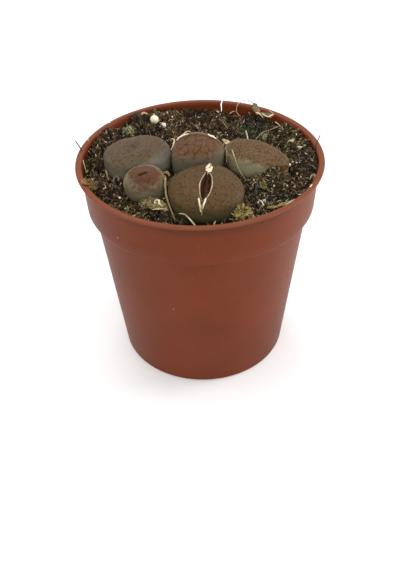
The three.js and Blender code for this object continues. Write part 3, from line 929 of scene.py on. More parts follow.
@dataclass(frozen=True)
class DryTissue:
    """Papery dead tissue: pale, with darker veins along it and stains at its edges."""

    name: str
    pale: Colour
    tan: Colour
    brown: Colour
    staining: float = 0.35
    roughness: float = 0.8

    def material(self) -> bpy.types.Material:
        """Builds the finish."""
        made, graph = new_material(self.name)
        patches = graph.effect(mottle(), Size=1.4, Detail=5.0, Low=0.3, High=0.7)
        colour = graph.blend(patches, self.pale, self.tan)
        stains = graph.effect(mottle(), Size=0.8, Detail=6.0, Low=0.52, High=0.72, Shift=31.0)
        colour = graph.blend(graph.maths("MULTIPLY", stains, self.staining), colour, self.brown)
        spots = graph.effect(specks(), Size=0.9, Share=0.25, Radius=0.2)
        colour = graph.blend(graph.maths("MULTIPLY", spots, self.staining), colour, self.brown)
        height = graph.maths("ADD", graph.effect(grain(), Size=0.25, Pits=0.2), patches)
        graph.surface(colour, self.roughness, graph.bump(height, 0.06), Specular_IOR_Level=0.3)
        return made


@dataclass(frozen=True)
class Mineral:
    """A grain of grit: chalky or glazed, with pits and stains."""

    name: str
    colour: Colour
    shade: Colour
    roughness: float

    def material(self) -> bpy.types.Material:
        """Builds the finish."""
        made, graph = new_material(self.name)
        patches = graph.effect(mottle(), Size=0.8, Detail=4.0, Low=0.4, High=0.75)
        colour = graph.blend(graph.maths("MULTIPLY", patches, 0.6), self.colour, self.shade)
        height = graph.effect(grain(), Size=0.3, Pits=0.5)
        graph.surface(colour, self.roughness, graph.bump(height, 0.05))
        return made


# ---- The pot ----


@dataclass
class NurseryPot:
    """The moulded pot: a lathe-turned wall with a flanged lip, a collar, drain holes and a split rim."""

    rim_radius: float = 42.5
    flange: float = 1.8
    rim_thickness: float = 0.9
    wall: float = 0.7
    collar_top: float = 40.9
    collar_foot: float = 40.0
    collar_height: float = 16.1
    body_top: float = 37.8
    base_radius: float = 31.2
    base_recess: float = 1.6
    foot_width: float = 2.6
    segments: int = 240
    finish: MouldedPlastic = MouldedPlastic()

    def profile(self) -> Array:
        """The closed outline of the wall, from the middle of the underside, up the outside and down the inside."""
        collar = POT_HEIGHT - self.collar_height
        under = POT_HEIGHT - self.rim_thickness
        top, base, wall = POT_HEIGHT, self.base_radius, self.wall
        floor = self.base_recess + wall
        outside = [
            (0.0, self.base_recess),
            (8.0, self.base_recess),
            (8.3, self.base_recess - 0.25),
            (9.3, self.base_recess - 0.25),
            (9.6, self.base_recess),
            (18.0, self.base_recess),
            (base - self.foot_width - 0.4, self.base_recess),
            (base - self.foot_width, 0.1),
            (base - self.foot_width + 0.15, 0.0),
            (base - 0.9, 0.0),
            (base - 0.45, 0.12),
            (base - 0.2, 0.4),
            (base - 0.05, 0.85),
            (base, 1.5),
            (self.body_top, collar - 0.9),
            (self.body_top + 0.06, collar - 0.55),
            (self.body_top + 0.35, collar - 0.32),
            (self.collar_foot - 0.5, collar - 0.1),
            (self.collar_foot - 0.15, collar + 0.1),
            (self.collar_foot, collar + 0.5),
            (self.collar_top - 0.1, under - 0.5),
            (self.collar_top, under - 0.15),
            (self.collar_top + 0.3, under),
            (self.rim_radius - 0.35, under),
            (self.rim_radius - 0.1, under + 0.12),
            (self.rim_radius, under + 0.4),
            (self.rim_radius - 0.05, top - 0.25),
            (self.rim_radius - 0.3, top - 0.03),
            (self.rim_radius - 0.7, top),
            (self.rim_radius - self.flange + 0.2, top - 0.02),
            (self.rim_radius - self.flange - 0.15, top - 0.15),
            (self.rim_radius - self.flange - 0.42, top - 0.5),
        ]
        inside = [
            (self.collar_top - wall, under - 0.6),
            (self.collar_foot - wall, collar + wall + 0.5),
            (self.collar_foot - wall - 0.4, collar + wall),
            (self.body_top - wall, collar + wall - 0.3),
            (base - wall, floor + 1.5),
            (base - wall - 0.4, floor + 0.5),
            (base - wall - 1.5, floor),
            (0.0, floor),
        ]
        return np.array(self.refined(outside) + self.refined(inside))

    @staticmethod
    def refined(points: list[tuple[float, float]]) -> list[tuple[float, float]]:
        """The points, with more along the long straight stretches."""
        dense = [points[0]]
        for (r0, z0), (r1, z1) in itertools.pairwise(points):
            parts = max(1, round(math.hypot(r1 - r0, z1 - z0) / 4))
            dense += [(r0 + (r1 - r0) * n / parts, z0 + (z1 - z0) * n / parts) for n in range(1, parts + 1)]
        return dense

    def build(self) -> bpy.types.Object:
        """Builds the pot, cuts its holes and the split in its rim, and dresses it."""
        profile = self.profile()
        turn = np.linspace(0, 2 * math.pi, self.segments, endpoint=False)
        radius, height = profile[:, :1], np.repeat(profile[:, 1:], self.segments, axis=1)
        drift = 0.08 * np.sin(2 * turn + 0.7) * np.clip(height / POT_HEIGHT, 0, 1) ** 2
        wide = np.where(radius > 1, radius - 0.08 + drift, radius)
        grid = np.stack([wide * np.cos(turn), wide * np.sin(turn), height], axis=-1)
        shape = Shape()
        shape.add(*skin_of(grid))
        bare = Mineral("bare_plastic_edge", tint(0xF2E6DC), tint(0xDDBFAE), 0.6)
        pot = shape.build("pot_shell", [self.finish.material(), bare.material()])
        carve(pot, *self.drains(), self.split())
        pot.data.set_sharp_from_angle(angle=math.radians(42))
        self.mark_wall(pot.data)
        return seat(pot, Slot.POT, "pot")

    def drains(self) -> list[bpy.types.Object]:
        """Cutters for the drain holes, each a many-sided plug with a flared mouth."""
        cutters = []
        ends = [(-4.0, 0.0), (-4.0, 2.9), (1.6, 2.45), (5.0, 2.4), (5.0, 0.0)]
        turn = np.linspace(0, 2 * math.pi, 40, endpoint=False)
        for n in range(8):
            bearing = (n + 0.5) / 8 * 2 * math.pi
            rings = [
                np.stack([r * np.cos(turn), r * np.sin(turn), np.full_like(turn, z)], axis=-1) for z, r in ends
            ]
            shape = Shape()
            centre = np.array([21 * math.cos(bearing), 21 * math.sin(bearing), 0])
            shape.add(*skin_of(np.array(rings) + centre))
            cutters.append(shape.build(f"drain_cutter_{n}", []))
        return cutters

    def split(self) -> bpy.types.Object:
        """A cutter for the split in the rim, with two small nicks in the rim's left edge."""
        shape = Shape()
        crack = [(0, 3.0, 0.36), (0, 0.4, 0.34), (0.1, -1.2, 0.27), (-0.06, -2.6, 0.2), (0.06, -3.9, 0.1)]
        self.add_wedge(shape, 77.5, 37.0, 45.0, crack)
        for bearing, depth in ((161.5, 1.3), (142.0, 1.3)):
            notch = [(0, 2.0, 0.26), (0.1, -depth * 0.5, 0.22), (0, -depth, 0.1)]
            self.add_wedge(shape, bearing, 41.3, 45.0, notch, 1)
        return shape.build("rim_cutter", [])

    @staticmethod
    def add_wedge(shape: Shape, bearing: float, near: float, far: float, levels: list[Point], part: int = 0) -> None:
        """Adds a thin radial wedge to a cutter.

        Args:
            shape: The cutter.
            bearing: The wedge's bearing in degrees.
            near: Its inner radius.
            far: Its outer radius.
            levels: Its sideways shift, height above the rim's top and half width, from the top down.
            part: The material of the faces that it cuts.
        """
        angle = math.radians(bearing)
        out, side = np.array([math.cos(angle), math.sin(angle), 0]), np.array([-math.sin(angle), math.cos(angle), 0])
        rings = []
        for shift, height, half in [levels[0], *levels, levels[-1]]:
            corners = [(near, -half), (near, half), (far, half), (far, -half)]
            rings.append([out * r + side * (shift + w) + np.array([0, 0, POT_HEIGHT + height]) for r, w in corners])
        shape.add(*skin_of(np.array(rings)), part=part)

    def mark_wall(self, mesh: bpy.types.Mesh) -> None:
        """Marks the wall near the soil for smears that are partly soil and partly painted shade, the channel under the
        lip for a painted shadow, and the top of the lip for a painted highlight.
        """
        spots = np.zeros(len(mesh.vertices) * 3)
        mesh.vertices.foreach_get("co", spots)
        x, y, z = spots.reshape(-1, 3).T / MM
        radius = np.hypot(x, y)
        limit = self.collar_foot - 0.35 + (self.collar_top - self.collar_foot) * (z - POT_HEIGHT + 16.1) / 16.1
        # The inner wall near the soil: soil smears and painted shade, stronger towards the right front.
        near_soil_shade = (1 - step(z, POT_HEIGHT - 3.2, POT_HEIGHT - 0.4)) * (0.5 + 0.9 * step(x - y, 10, 45))
        outer = radius > self.collar_top - 0.4
        # The wall near the soil takes smears and painted shade, the channel under the lip a painted shadow, and the
        # lip's top a painted highlight.
        for name, values in (
            ("inside", ((radius < limit) & (z > POT_HEIGHT - 14)) * near_soil_shade),
            ("under_lip_shade", outer * step(z, POT_HEIGHT - 2.2, POT_HEIGHT - 1.2) * (z < POT_HEIGHT - 0.8)),
            ("lip", (z > POT_HEIGHT - 0.5) * outer),
        ):
            mesh.attributes.new(name, "FLOAT", "POINT").data.foreach_set("value", values.astype(float))


# ---- The living stones ----


@dataclass
class StoneHead:
    """One living stone: plan centre, half lengths, turn, squareness and egg shape, and heights from the rim's top."""

    name: str
    x: float
    y: float
    a: float
    b: float
    turn: float
    squareness: float
    egg: float
    ground: float
    shoulder: float
    crown: float
    lean: float
    foot: float
    finish: StoneSkin | None = None
    slot: Slot = Slot.SKIN_BROWN
    segments: int = 260
    net_size: float = 2.0
    net_depth: float = 0.0
    fissure_line: tuple = ()
    fissure_depth: float = 0.0
    fissure_width: float = 0.5
    fissure_lip: float = 0.0
    # How strongly the fissure is painted dark as shade.
    fissure_shade_share: float = 1.0
    pale_behind: bool = False
    dimples: tuple = ()
    window_patch: tuple = ()
    end: tuple[float, float, float] = (0.0, 90.0, 99.0)
    droop: float = 0.0
    # Painted sheen on the flank at the head's far end.
    end_sheen: float = 0.0
    seed: int = 1
    root_length: float = 17.0
    root_power: float = 0.7
    shoulder_power: float = 0.68

    def profile(self, t: Array) -> tuple[Array, Array]:
        """The radius share and height at t: -1 root tip, 0 ground, 1 shoulder, 2 crown."""
        low = self.foot * np.maximum(1 - t * t, 0) ** self.root_power
        middle = self.foot + (1 - self.foot) * np.clip(t, 0, 1) ** self.shoulder_power
        angle = np.clip(t - 1, 0, 1) * math.pi / 2
        high = np.maximum(np.cos(angle), 0) ** self.shoulder_power
        rho = np.where(t < 0, low, np.where(t < 1, middle, np.where(t < 2, high, 0)))
        side = self.ground + (self.shoulder - self.ground) * t
        height = np.where(t < 0, self.ground + self.root_length * t, np.where(t < 1, side, 0))
        return rho, np.where(t >= 1, self.shoulder + self.crown * np.sin(angle), height)

    def points(self, bearing: Array, t: Array) -> Array:
        """The points of the skin at bearings in the head's own plan and at t up its profile."""
        rho, height = self.profile(t)
        cos, sin = np.cos(bearing), np.sin(bearing)
        n = self.squareness
        reach = (np.abs(cos) ** n + np.abs(sin) ** n) ** (-1 / n)
        along = self.a * rho * reach * cos
        across = self.b * rho * reach * sin * (1 - self.egg * reach * cos)
        turn = math.radians(self.turn)
        dx = along * math.cos(turn) - across * math.sin(turn)
        dy = along * math.sin(turn) + across * math.cos(turn)
        share = np.clip((height - self.ground) / (self.shoulder + self.crown - self.ground), 0, 1)
        return np.stack([self.x + dx, self.y + dy, POT_HEIGHT + height + share * self.lean * dy], axis=-1)

    def share_at(self, x: Array, y: Array) -> Array:
        """The share of the head's radius at plan points: 1 on its outline."""
        turn = math.radians(self.turn)
        dx, dy = x - self.x, y - self.y
        u = (dx * math.cos(turn) + dy * math.sin(turn)) / self.a
        v = (dy * math.cos(turn) - dx * math.sin(turn)) / self.b / np.maximum(1 - self.egg * u, 0.3)
        n = self.squareness
        return (np.abs(u) ** n + np.abs(v) ** n) ** (1 / n)

    def dome(self, x: Array, y: Array) -> Array:
        """The height of the domed top at plan points."""
        rho = np.minimum(self.share_at(x, y), 0.995)
        fall = np.sqrt(1 - rho ** (2 / self.shoulder_power))
        return POT_HEIGHT + self.shoulder + self.crown * fall + self.lean * (y - self.y)

    def fissure_marks(self, points: Array, t: Array) -> tuple[Array, Array, Array]:
        """What the fissure does to the skin.

        Args:
            points: Points of the smooth skin.
            t: Where each lies up the profile.

        Returns:
            How far each point is raised, how deep in the fissure it is, and how pale it is for lying behind it.
        """
        if not self.fissure_line:
            return np.zeros(len(t)), np.zeros(len(t)), np.zeros(len(t))
        x, y = points[:, 0], points[:, 1]
        line = curve_through([(px, py, 0) for px, py in self.fissure_line], 90)
        line = line + 0.12 * np.stack([smooth_noise(line, 1.3, self.seed + n) for n in range(3)], axis=-1)
        near = line_distance(x, y, line)
        top = step(t, 0.9, 1.1)
        deep = np.exp(-((near / self.fissure_width) ** 2)) * top
        lip = np.exp(-(((near - 2.2 * self.fissure_width) / (1.5 * self.fissure_width)) ** 2)) * top
        behind = step(y - np.interp(x, line[:, 0], line[:, 1]), 0.1, 0.9) * top
        return self.fissure_lip * lip - self.fissure_depth * deep, self.fissure_shade_share * deep, behind * self.pale_behind

    def unrolled(self, t: Array) -> Array:
        """How much further from the crown each point lies along the skin than in plan, at t up the profile."""
        steps = np.linspace(2, 0, 200)
        rho, height = self.profile(steps)
        across = rho * (self.a + self.b) / 2
        along = np.cumsum(np.hypot(np.gradient(across), np.gradient(height)))
        return np.interp(-t, -steps, along / np.maximum(across, 0.3))

    def relief(self, points: Array, t: Array) -> tuple[Array, dict[str, Array]]:
        """The fine shape of the skin.

        Args:
            points: Points of the smooth skin.
            t: Where each lies up the profile.

        Returns:
            How far each stands out, and the values that the finish reads, by name.
        """
        x, y = points[:, 0], points[:, 1]
        wide = self.unrolled(t)
        net_x, net_y = self.x + (x - self.x) * wide, self.y + (y - self.y) * wide
        soft = 0.13 * rough_noise(points, 4.5, 3, self.seed) + 0.015 * rough_noise(points, 0.9, 2, self.seed + 7)
        warp = flat(net_x, net_y)
        bend = 0.5 * self.net_size
        bent_x = net_x + bend * rough_noise(warp, 1.3 * self.net_size, 2, self.seed + 11)
        bent_y = net_y + bend * rough_noise(warp, 1.3 * self.net_size, 2, self.seed + 12)
        net = net_distance(bent_x, bent_y, self.net_size, self.seed)
        out = soft - self.net_depth * step(t, 1.05, 1.35) * (1 - step(net, 0.05, 0.35))
        out = out + 0.1 * (1 - step(t, 0.1, 0.7)) * smooth_noise(points * [1, 1, 3], 1.4, self.seed + 3) * (t > 0)
        raised, deep, pale = self.fissure_marks(points, t)
        out = out + raised
        for px, py, radius, depth in self.dimples:
            hollow = np.exp(-((x - px) ** 2 + (y - py) ** 2) / radius**2) * step(t, 0.9, 1.1)
            # Each dimple is a hollow that the finish also darkens: painted shade with some purple-brown tone.
            out, deep = out - depth * hollow, np.maximum(deep, 0.85 * hollow)
        way = math.radians(self.end[0])
        far_end = step((x - self.x) * math.cos(way) + (y - self.y) * math.sin(way), self.end[1], self.end[2])
        window = t + self.droop * far_end
        # Painted sheen: the flank at the far end is painted paler.
        pale = np.maximum(pale, self.end_sheen * far_end * (1 - step(t, 1.0, 1.5)) * step(t, 0.1, 0.6))
        if self.window_patch:
            px, py, half_x, half_y = self.window_patch
            window = np.minimum(2 - np.hypot((x - px) / half_x, (y - py) / half_y), t - 0.08)
        return out, {"climb": t, "open": window, "vein": net, "fissure": deep, "pale": pale}

    def add_to(self, shape: Shape) -> dict[str, Array]:
        """Adds the head's skin to a shape.

        Args:
            shape: The shape that takes it.

        Returns:
            The values that the finish reads, by name, for each vertex.
        """
        low = -np.cos(np.linspace(0, math.pi / 2, 12)[:-1])
        side = np.linspace(0, 1, 26)[:-1]
        dome = 1 + 1 - np.linspace(1, 0, 84)[:-1] ** 1.25
        t = np.concatenate([low, side, dome, [1.999, 2.0]])
        bearing = np.linspace(0, 2 * math.pi, self.segments, endpoint=False)
        grid_t = np.repeat(t[:, None], self.segments, axis=1)
        grid = self.points(np.broadcast_to(bearing, grid_t.shape), grid_t)
        along = np.roll(grid, -1, axis=1) - np.roll(grid, 1, axis=1)
        normal = unit(np.cross(along, np.gradient(grid, axis=0)))
        normal[t > 1.97] = (0, 0, 1)
        out, values = self.relief(grid.reshape(-1, 3), grid_t.ravel())
        grid = grid + normal * out.reshape(grid_t.shape)[..., None]
        shape.add(*skin_of(grid))
        sides = self.segments
        return {key: np.concatenate([v[sides:-sides], v[:1], v[-1:]]) for key, v in values.items()}

    def build(self) -> bpy.types.Object:
        """Builds and dresses the head."""
        shape = Shape()
        values = self.add_to(shape)
        made = shape.build("stone_" + self.name, [self.finish.material()])
        for key, carried in values.items():
            made.data.attributes.new(key, "FLOAT", "POINT").data.foreach_set("value", carried)
        return made


@dataclass
class OpenSplit:
    """The lens that stands open in the large front head, with its pale lips and its uneven floor."""

    head: StoneHead
    left: tuple = ((1.9, -18.4), (0.84, -21.3), (-0.06, -24.6), (-0.22, -27.5), (-0.23, -29.9), (0.5, -32.0))
    right: tuple = ((2.9, -18.3), (3.5, -20.8), (3.59, -24.1), (3.45, -26.9), (2.22, -30.4), (0.7, -32.0))
    depth: float = 3.6
    lip: float = 0.17

    def edge(self, route: tuple, grow: float = 0.0) -> Array:
        """One edge of the lens on the dome.

        Args:
            route: Its plan points.
            grow: How far it is moved away from the middle of the lens.

        Returns:
            64 points.
        """
        line = curve_through([(px, py, 0) for px, py in route], 64)
        line = line + 0.1 * np.stack([smooth_noise(line, 0.9, 3 + n) for n in range(3)], axis=-1)
        line[:, 0] += grow
        return np.stack([line[:, 0], line[:, 1], self.head.dome(line[:, 0], line[:, 1])], axis=-1)

    def cutter(self) -> bpy.types.Object:
        """The body that is cut out of the head."""
        left, right = self.edge(self.left), self.edge(self.right)
        centre = (left + right) / 2
        share = np.sin(np.linspace(0.12, math.pi - 0.12, 64)) ** 0.6
        rows = []
        for rise, narrow in ((3.0, 1.0), (0.0, 1.0), (-0.2, 0.97), (-0.45, 0.86), (-0.75, 0.66), (-1.0, 0.3)):
            drop = np.where(rise > 0, rise, rise * self.depth * share)
            lift = np.stack([np.zeros(64), np.zeros(64), drop], axis=-1)
            rows.append((centre + (left - centre) * narrow + lift, centre + (right - centre) * narrow + lift))
        loop = np.array([row[0] for row in rows] + [row[1] for row in rows[::-1]])
        grid = np.transpose(loop, (1, 0, 2))
        uneven = 0.22 * rough_noise(grid.reshape(-1, 3), 1.1, 2, 7).reshape(grid.shape[:2])
        grid[..., 2] += uneven * (grid[..., 2] < centre[:, None, 2] - 0.3)
        caps = np.repeat(grid[[0, -1]].mean(axis=1)[:, None], grid.shape[1], axis=1)
        shape = Shape()
        shape.add(*skin_of(np.concatenate([caps[:1], grid, caps[1:]])), part=1)
        return shape.build("split_cutter", [])

    def open_in(self, stone: bpy.types.Object) -> None:
        """Cuts the lens into the head and gives its walls the flesh finish."""
        stone.data.materials.append(Flesh().material())
        carve(stone, self.cutter())
        stone.data.set_sharp_from_angle(angle=math.radians(48))

    def lips(self) -> bpy.types.Object:
        """The pale rolled lips along both edges of the lens."""
        shape = Shape()
        for route, grow in ((self.left, -0.05), (self.right, 0.05)):
            line = self.edge(route, grow) + [0, 0, 0.02]
            swell = np.sin(np.linspace(0.2, math.pi - 0.2, 64)) ** 0.5
            radius = self.lip * swell * (1 + 0.3 * smooth_noise(line, 1.3, 9))
            shape.add(*tube(line, radius, 10))
        finish = DryTissue("split_lip_tissue", tint(0xC0AC88), tint(0x9C8260), tint(0x664C30), 0.35, 0.6)
        return shape.build("split_lips", [finish.material()])

    def shreds(self) -> bpy.types.Object:
        """Scraps of olive and brown tissue that cling to the walls of the lens."""
        rng = np.random.default_rng(61)
        left, right = self.edge(self.left), self.edge(self.right)
        place = rng.integers(4, 60, 90)
        across = rng.random(90)[:, None]
        centres = left[place] * (1 - across) + right[place] * across
        centres[:, 2] -= 1.1 + 1.8 * rng.random(90) * np.sin(place / 64 * math.pi)
        long = 0.4 + 0.7 * rng.random(90)
        sizes = np.stack([long, 0.45 * long, 0.12 + 0 * long], axis=-1)
        directions = unit(rng.normal(size=(90, 3)) * [0.5, 1, 0.5])
        shape = Shape()
        shape.add(*flakes(centres, directions, sizes, rng))
        finish = Fragments("split_shreds", (tint(0x1E0F09), tint(0x4A2415), tint(0x5C4A22), tint(0x2E1A0E)))
        return shape.build("split_shreds", [finish.material()], smooth=False)


# ---- The peat and what is strewn on it ----


@dataclass(frozen=True)
class Zone:
    """A round patch of ground where something is more common."""

    x: float
    y: float
    radius: float
    weight: float = 1.0

    def share(self, x: Array, y: Array) -> Array:
        """Its weight at plan points, which fades away from its centre."""
        return self.weight * np.exp(-((x - self.x) ** 2 + (y - self.y) ** 2) / self.radius**2)


@dataclass
class PeatBed:
    """The peat that fills the pot, and the crumbs, fibres and bits strewn on it."""

    heads: list[StoneHead]
    depth_below_rim: float = 5.0
    edge_radius: float = 39.75
    cells: int = 280
    mounds: tuple = (
        (-38.5, 9, 4.0, 6.5), (-34, 19.5, 4.0, 6.5), (-23.5, 32.5, 4.4, 6.5), (-15, 37.5, 3.8, 4.5), (3, 40.5, 2.4, 8),
        (13.5, 38, -1.4, 3.5), (20.5, 34, 2.6, 4.5), (34, 21, 3.6, 6.5), (39, 8, 3.4, 7), (40, -4, 4.0, 6),
        (31, -4, 2.5, 4.5), (24.5, -12, 4.2, 5), (18, -11, 1.8, 4), (-37, -13, 3.0, 4), (-30, -20, 0.8, 8),
        (26, -25, 0.8, 8), (-32, -6, 1.2, 3.5), (-28.5, 29, 2.2, 3), (24.5, -10.5, 0.9, 3.5), (30.5, -8.5, 1.2, 3),
        (38.5, -7, -2.4, 2.2), (15.6, -19, -1.8, 2.6), (17.5, -25, -1, 3),
    )
    # Zones of darker ground: some moist, some painted shade in the gaps beside the heads, under the sheath and against
    # the wall.
    damp_and_shade: tuple = (
        Zone(23, -21, 6), Zone(15.5, -19, 4), Zone(29, -24, 5, 0.6), Zone(21, 25, 8, 0.9), Zone(2, -35, 7, 0.3), Zone(13, -9, 5, 0.6),
        Zone(-13.4, -29.4, 2.6), Zone(-20.5, 30, 4.5, 0.8), Zone(38.5, -7, 3), Zone(-6, 34, 8, 0.3), Zone(33, 6, 9, 0.7),
    )

    def covered(self, x: Array, y: Array, margin: float = 1.02) -> Array:
        """Whether plan points lie under a head."""
        return np.min([head.share_at(x, y) for head in self.heads], axis=0) < margin

    def coarse(self, x: Array, y: Array) -> Array:
        """The lie of the ground, without its crumbs."""
        rise = sum(h * np.exp(-((x - mx) ** 2 + (y - my) ** 2) / s**2) for mx, my, h, s in self.mounds)
        swell = 0.55 * smooth_noise(flat(x, y), 9.0, 2) + 0.6 * smooth_noise(flat(x, y), 3.2, 3)
        return POT_HEIGHT - self.depth_below_rim + rise + swell

    def crumble(self, x: Array, y: Array) -> Array:
        """How far the clumps and crumbs stand up at plan points: deep gaps lie between them."""
        large = 0.5 * crumb_pile(x, y, 4.2, 4) + 0.6 * crumb_pile(x + 3, y, 2.1, 5)
        return large + 0.5 * crumb_pile(x, y + 5, 1.1, 6) + 0.4 * crumb_pile(x + 7, y + 2, 0.6, 7)

    def height(self, x: Array, y: Array) -> Array:
        """The height of the crumbly surface at plan points."""
        return self.coarse(x, y) - 1.95 + self.crumble(x, y) + 0.3 * rough_noise(flat(x, y), 0.9, 2, 8)

    def bed(self) -> bpy.types.Object:
        """The filling: a crumbly top, and a plain side and bottom that follow the pot's wall."""
        line = np.linspace(-1, 1, self.cells)
        u, v = np.meshgrid(line, line, indexing="ij")
        wider = np.abs(u) > np.abs(v)
        with np.errstate(divide="ignore", invalid="ignore"):
            angle = np.where(wider, math.pi / 4 * v / u, math.pi / 2 - math.pi / 4 * u / v)
        radius = np.where(wider, u, v) * self.edge_radius
        angle = np.where((u == 0) & (v == 0), 0, angle)
        x, y = (radius * np.cos(angle)).ravel(), (radius * np.sin(angle)).ravel()
        z = self.height(x, y)
        hidden = np.min([head.share_at(x, y) for head in self.heads], axis=0)
        z -= 6 * (1 - step(hidden, 0.72, 0.93))
        top = np.stack([x, y, z], axis=-1)
        count = self.cells
        index = np.arange(count * count).reshape(count, count)
        rim = np.concatenate([index[:-1, 0], index[-1, :-1], index[:0:-1, -1], index[0, :0:-1]])
        rings = [top[rim]]
        turn = np.arctan2(top[rim, 1], top[rim, 0])
        for ring_radius, ring_height in ((39.2, 66.0), (38.9, 63.6), (36.8, 62.6), (30.3, 4.4), (29.0, 2.8)):
            ring = [ring_radius * np.cos(turn), ring_radius * np.sin(turn), np.full_like(turn, ring_height)]
            rings.append(np.stack(ring, axis=-1))
        below = np.concatenate([*rings[1:], [[0, 0, 2.8]]])
        total, sides = len(top), len(rim)
        numbers = np.concatenate([rim, total + np.arange(5 * sides)])
        walls = numbers[grid_faces(6, sides, closed=True)]
        floor = fan_faces(total + 5 * sides, numbers[-sides:])
        shape = Shape()
        shape.add(np.concatenate([top, below]), grid_faces(count, count), walls[:, ::-1], floor[:, ::-1])
        made = shape.build("peat_bed", [PeatFinish().material()])
        blank = np.zeros(len(below))
        # Crumb height, which the finish uses for painted shade in the hollows.
        crumb_height_shade = step(self.crumble(x, y), 0.7, 2.9)
        for name, values in (("damp_and_shade", self.damp_and_shade_at(x, y)), ("crumb_height_shade", crumb_height_shade)):
            carried = made.data.attributes.new(name, "FLOAT", "POINT")
            carried.data.foreach_set("value", np.concatenate([values, blank]))
        return seat(made, Slot.SOIL, "soil")

    def damp_and_shade_at(self, x: Array, y: Array) -> Array:
        """How dark the ground is made at plan points: moist ground, and painted shade in the gaps by the heads and the
        wall.
        """
        return np.clip(sum(zone.share(x, y) for zone in self.damp_and_shade), 0, 1)

    def strewn(self, count: int, zones: tuple[Zone, ...], base: float, rng: np.random.Generator) -> Array:
        """Places on the open ground.

        Args:
            count: How many places.
            zones: Where they are more common.
            base: How common they are elsewhere.
            rng: Draws them.

        Returns:
            One row for each place, on the surface.
        """
        found = np.zeros((0, 2))
        while len(found) < count:
            angle, reach = rng.random(8000) * 2 * math.pi, (self.edge_radius - 0.4) * np.sqrt(rng.random(8000))
            x, y = reach * np.cos(angle), reach * np.sin(angle)
            share = base + sum(zone.share(x, y) for zone in zones)
            kept = (rng.random(8000) < share) & ~self.covered(x, y)
            found = np.concatenate([found, np.stack([x, y], axis=-1)[kept]])
        x, y = found[:count].T
        return np.stack([x, y, self.height(x, y)], axis=-1)

    def crumbs(self) -> bpy.types.Object:
        """Loose crumbs of peat."""
        rng = np.random.default_rng(21)
        spots = self.strewn(4800, (), 1.0, rng)
        size = 0.16 + 0.6 * rng.random((len(spots), 1)) ** 4
        sizes = size * (0.6 + 0.8 * rng.random((len(spots), 3)))
        spots[:, 2] += 0.1 * rng.random(len(spots))
        shape = Shape()
        shape.add(*lumps(spots, sizes, 0.7, rng))
        made = shape.build("peat_crumbs", [PeatFinish(name="peat_crumb", single=True).material()], smooth=False)
        per_body = len(lump_body()[0])
        wet_and_shaded = np.repeat(self.damp_and_shade_at(spots[:, 0], spots[:, 1]), per_body)
        made.data.attributes.new("damp_and_shade", "FLOAT", "POINT").data.foreach_set("value", wet_and_shaded)
        return seat(made, Slot.SOIL)

    def lying_paths(self, starts: Array, length: Array, arch: Array, curl: float, rng: np.random.Generator) -> Array:
        """Curved paths that lie over the ground.

        Args:
            starts: Where each begins.
            length: How long each is.
            arch: How far each rises between its ends.
            curl: How sharply they bend.
            rng: Draws their bearings.

        Returns:
            Seven points for each path.
        """
        count, steps = len(starts), 7
        bearing = rng.random(count) * 2 * math.pi
        bend = rng.normal(size=count) * curl
        s = np.linspace(0, 1, steps)[None]
        heading = bearing[:, None] + bend[:, None] * s
        pace = length[:, None] / (steps - 1)
        x = starts[:, :1] + np.cumsum(np.cos(heading) * pace, axis=1)
        y = starts[:, 1:2] + np.cumsum(np.sin(heading) * pace, axis=1)
        far = np.hypot(x, y)
        limit = np.minimum(1, (self.edge_radius + 0.1) / far)
        x, y = x * limit, y * limit
        z = self.height(x.ravel(), y.ravel()).reshape(x.shape)
        z = 0.5 * z + 0.5 * z.mean(axis=1, keepdims=True) + arch[:, None] * np.sin(math.pi * s)
        z[:, [0, -1]] -= 0.3
        return np.stack([x, y, z], axis=-1)

    def open_paths(self, paths: Array) -> Array:
        """Which paths keep clear of the heads."""
        x, y = paths[..., 0].ravel(), paths[..., 1].ravel()
        return ~self.covered(x, y, 1.01).reshape(paths.shape[:2]).any(axis=1)

    def strands(self, name: str, count: int, zones: tuple[Zone, ...], base: float, length: tuple[float, float],
                radius: tuple[float, float], finish: Fragments, slot: Slot, seed: int) -> bpy.types.Object:
        """Fine fibres that lie on the ground.

        Args:
            name: The piece's name.
            count: How many are drawn.
            zones: Where they are more common.
            base: How common they are elsewhere.
            length: Their least and greatest length.
            radius: Their least and greatest radius.
            finish: Their finish.
            slot: Their material slot.
            seed: Makes the draw repeatable.

        Returns:
            The piece.
        """
        rng = np.random.default_rng(seed)
        starts = self.strewn(count, zones, base, rng)
        long = length[0] + (length[1] - length[0]) * rng.random(count) ** 2
        paths = self.lying_paths(starts, long, 0.15 + 0.12 * long * rng.random(count), 1.6, rng)
        thick = radius[0] + (radius[1] - radius[0]) * rng.random(count) ** 2
        kept = self.open_paths(paths)
        shape = Shape()
        shape.add(*fibres(paths[kept], thick[kept]))
        return seat(shape.build(name, [finish.material()]), slot)

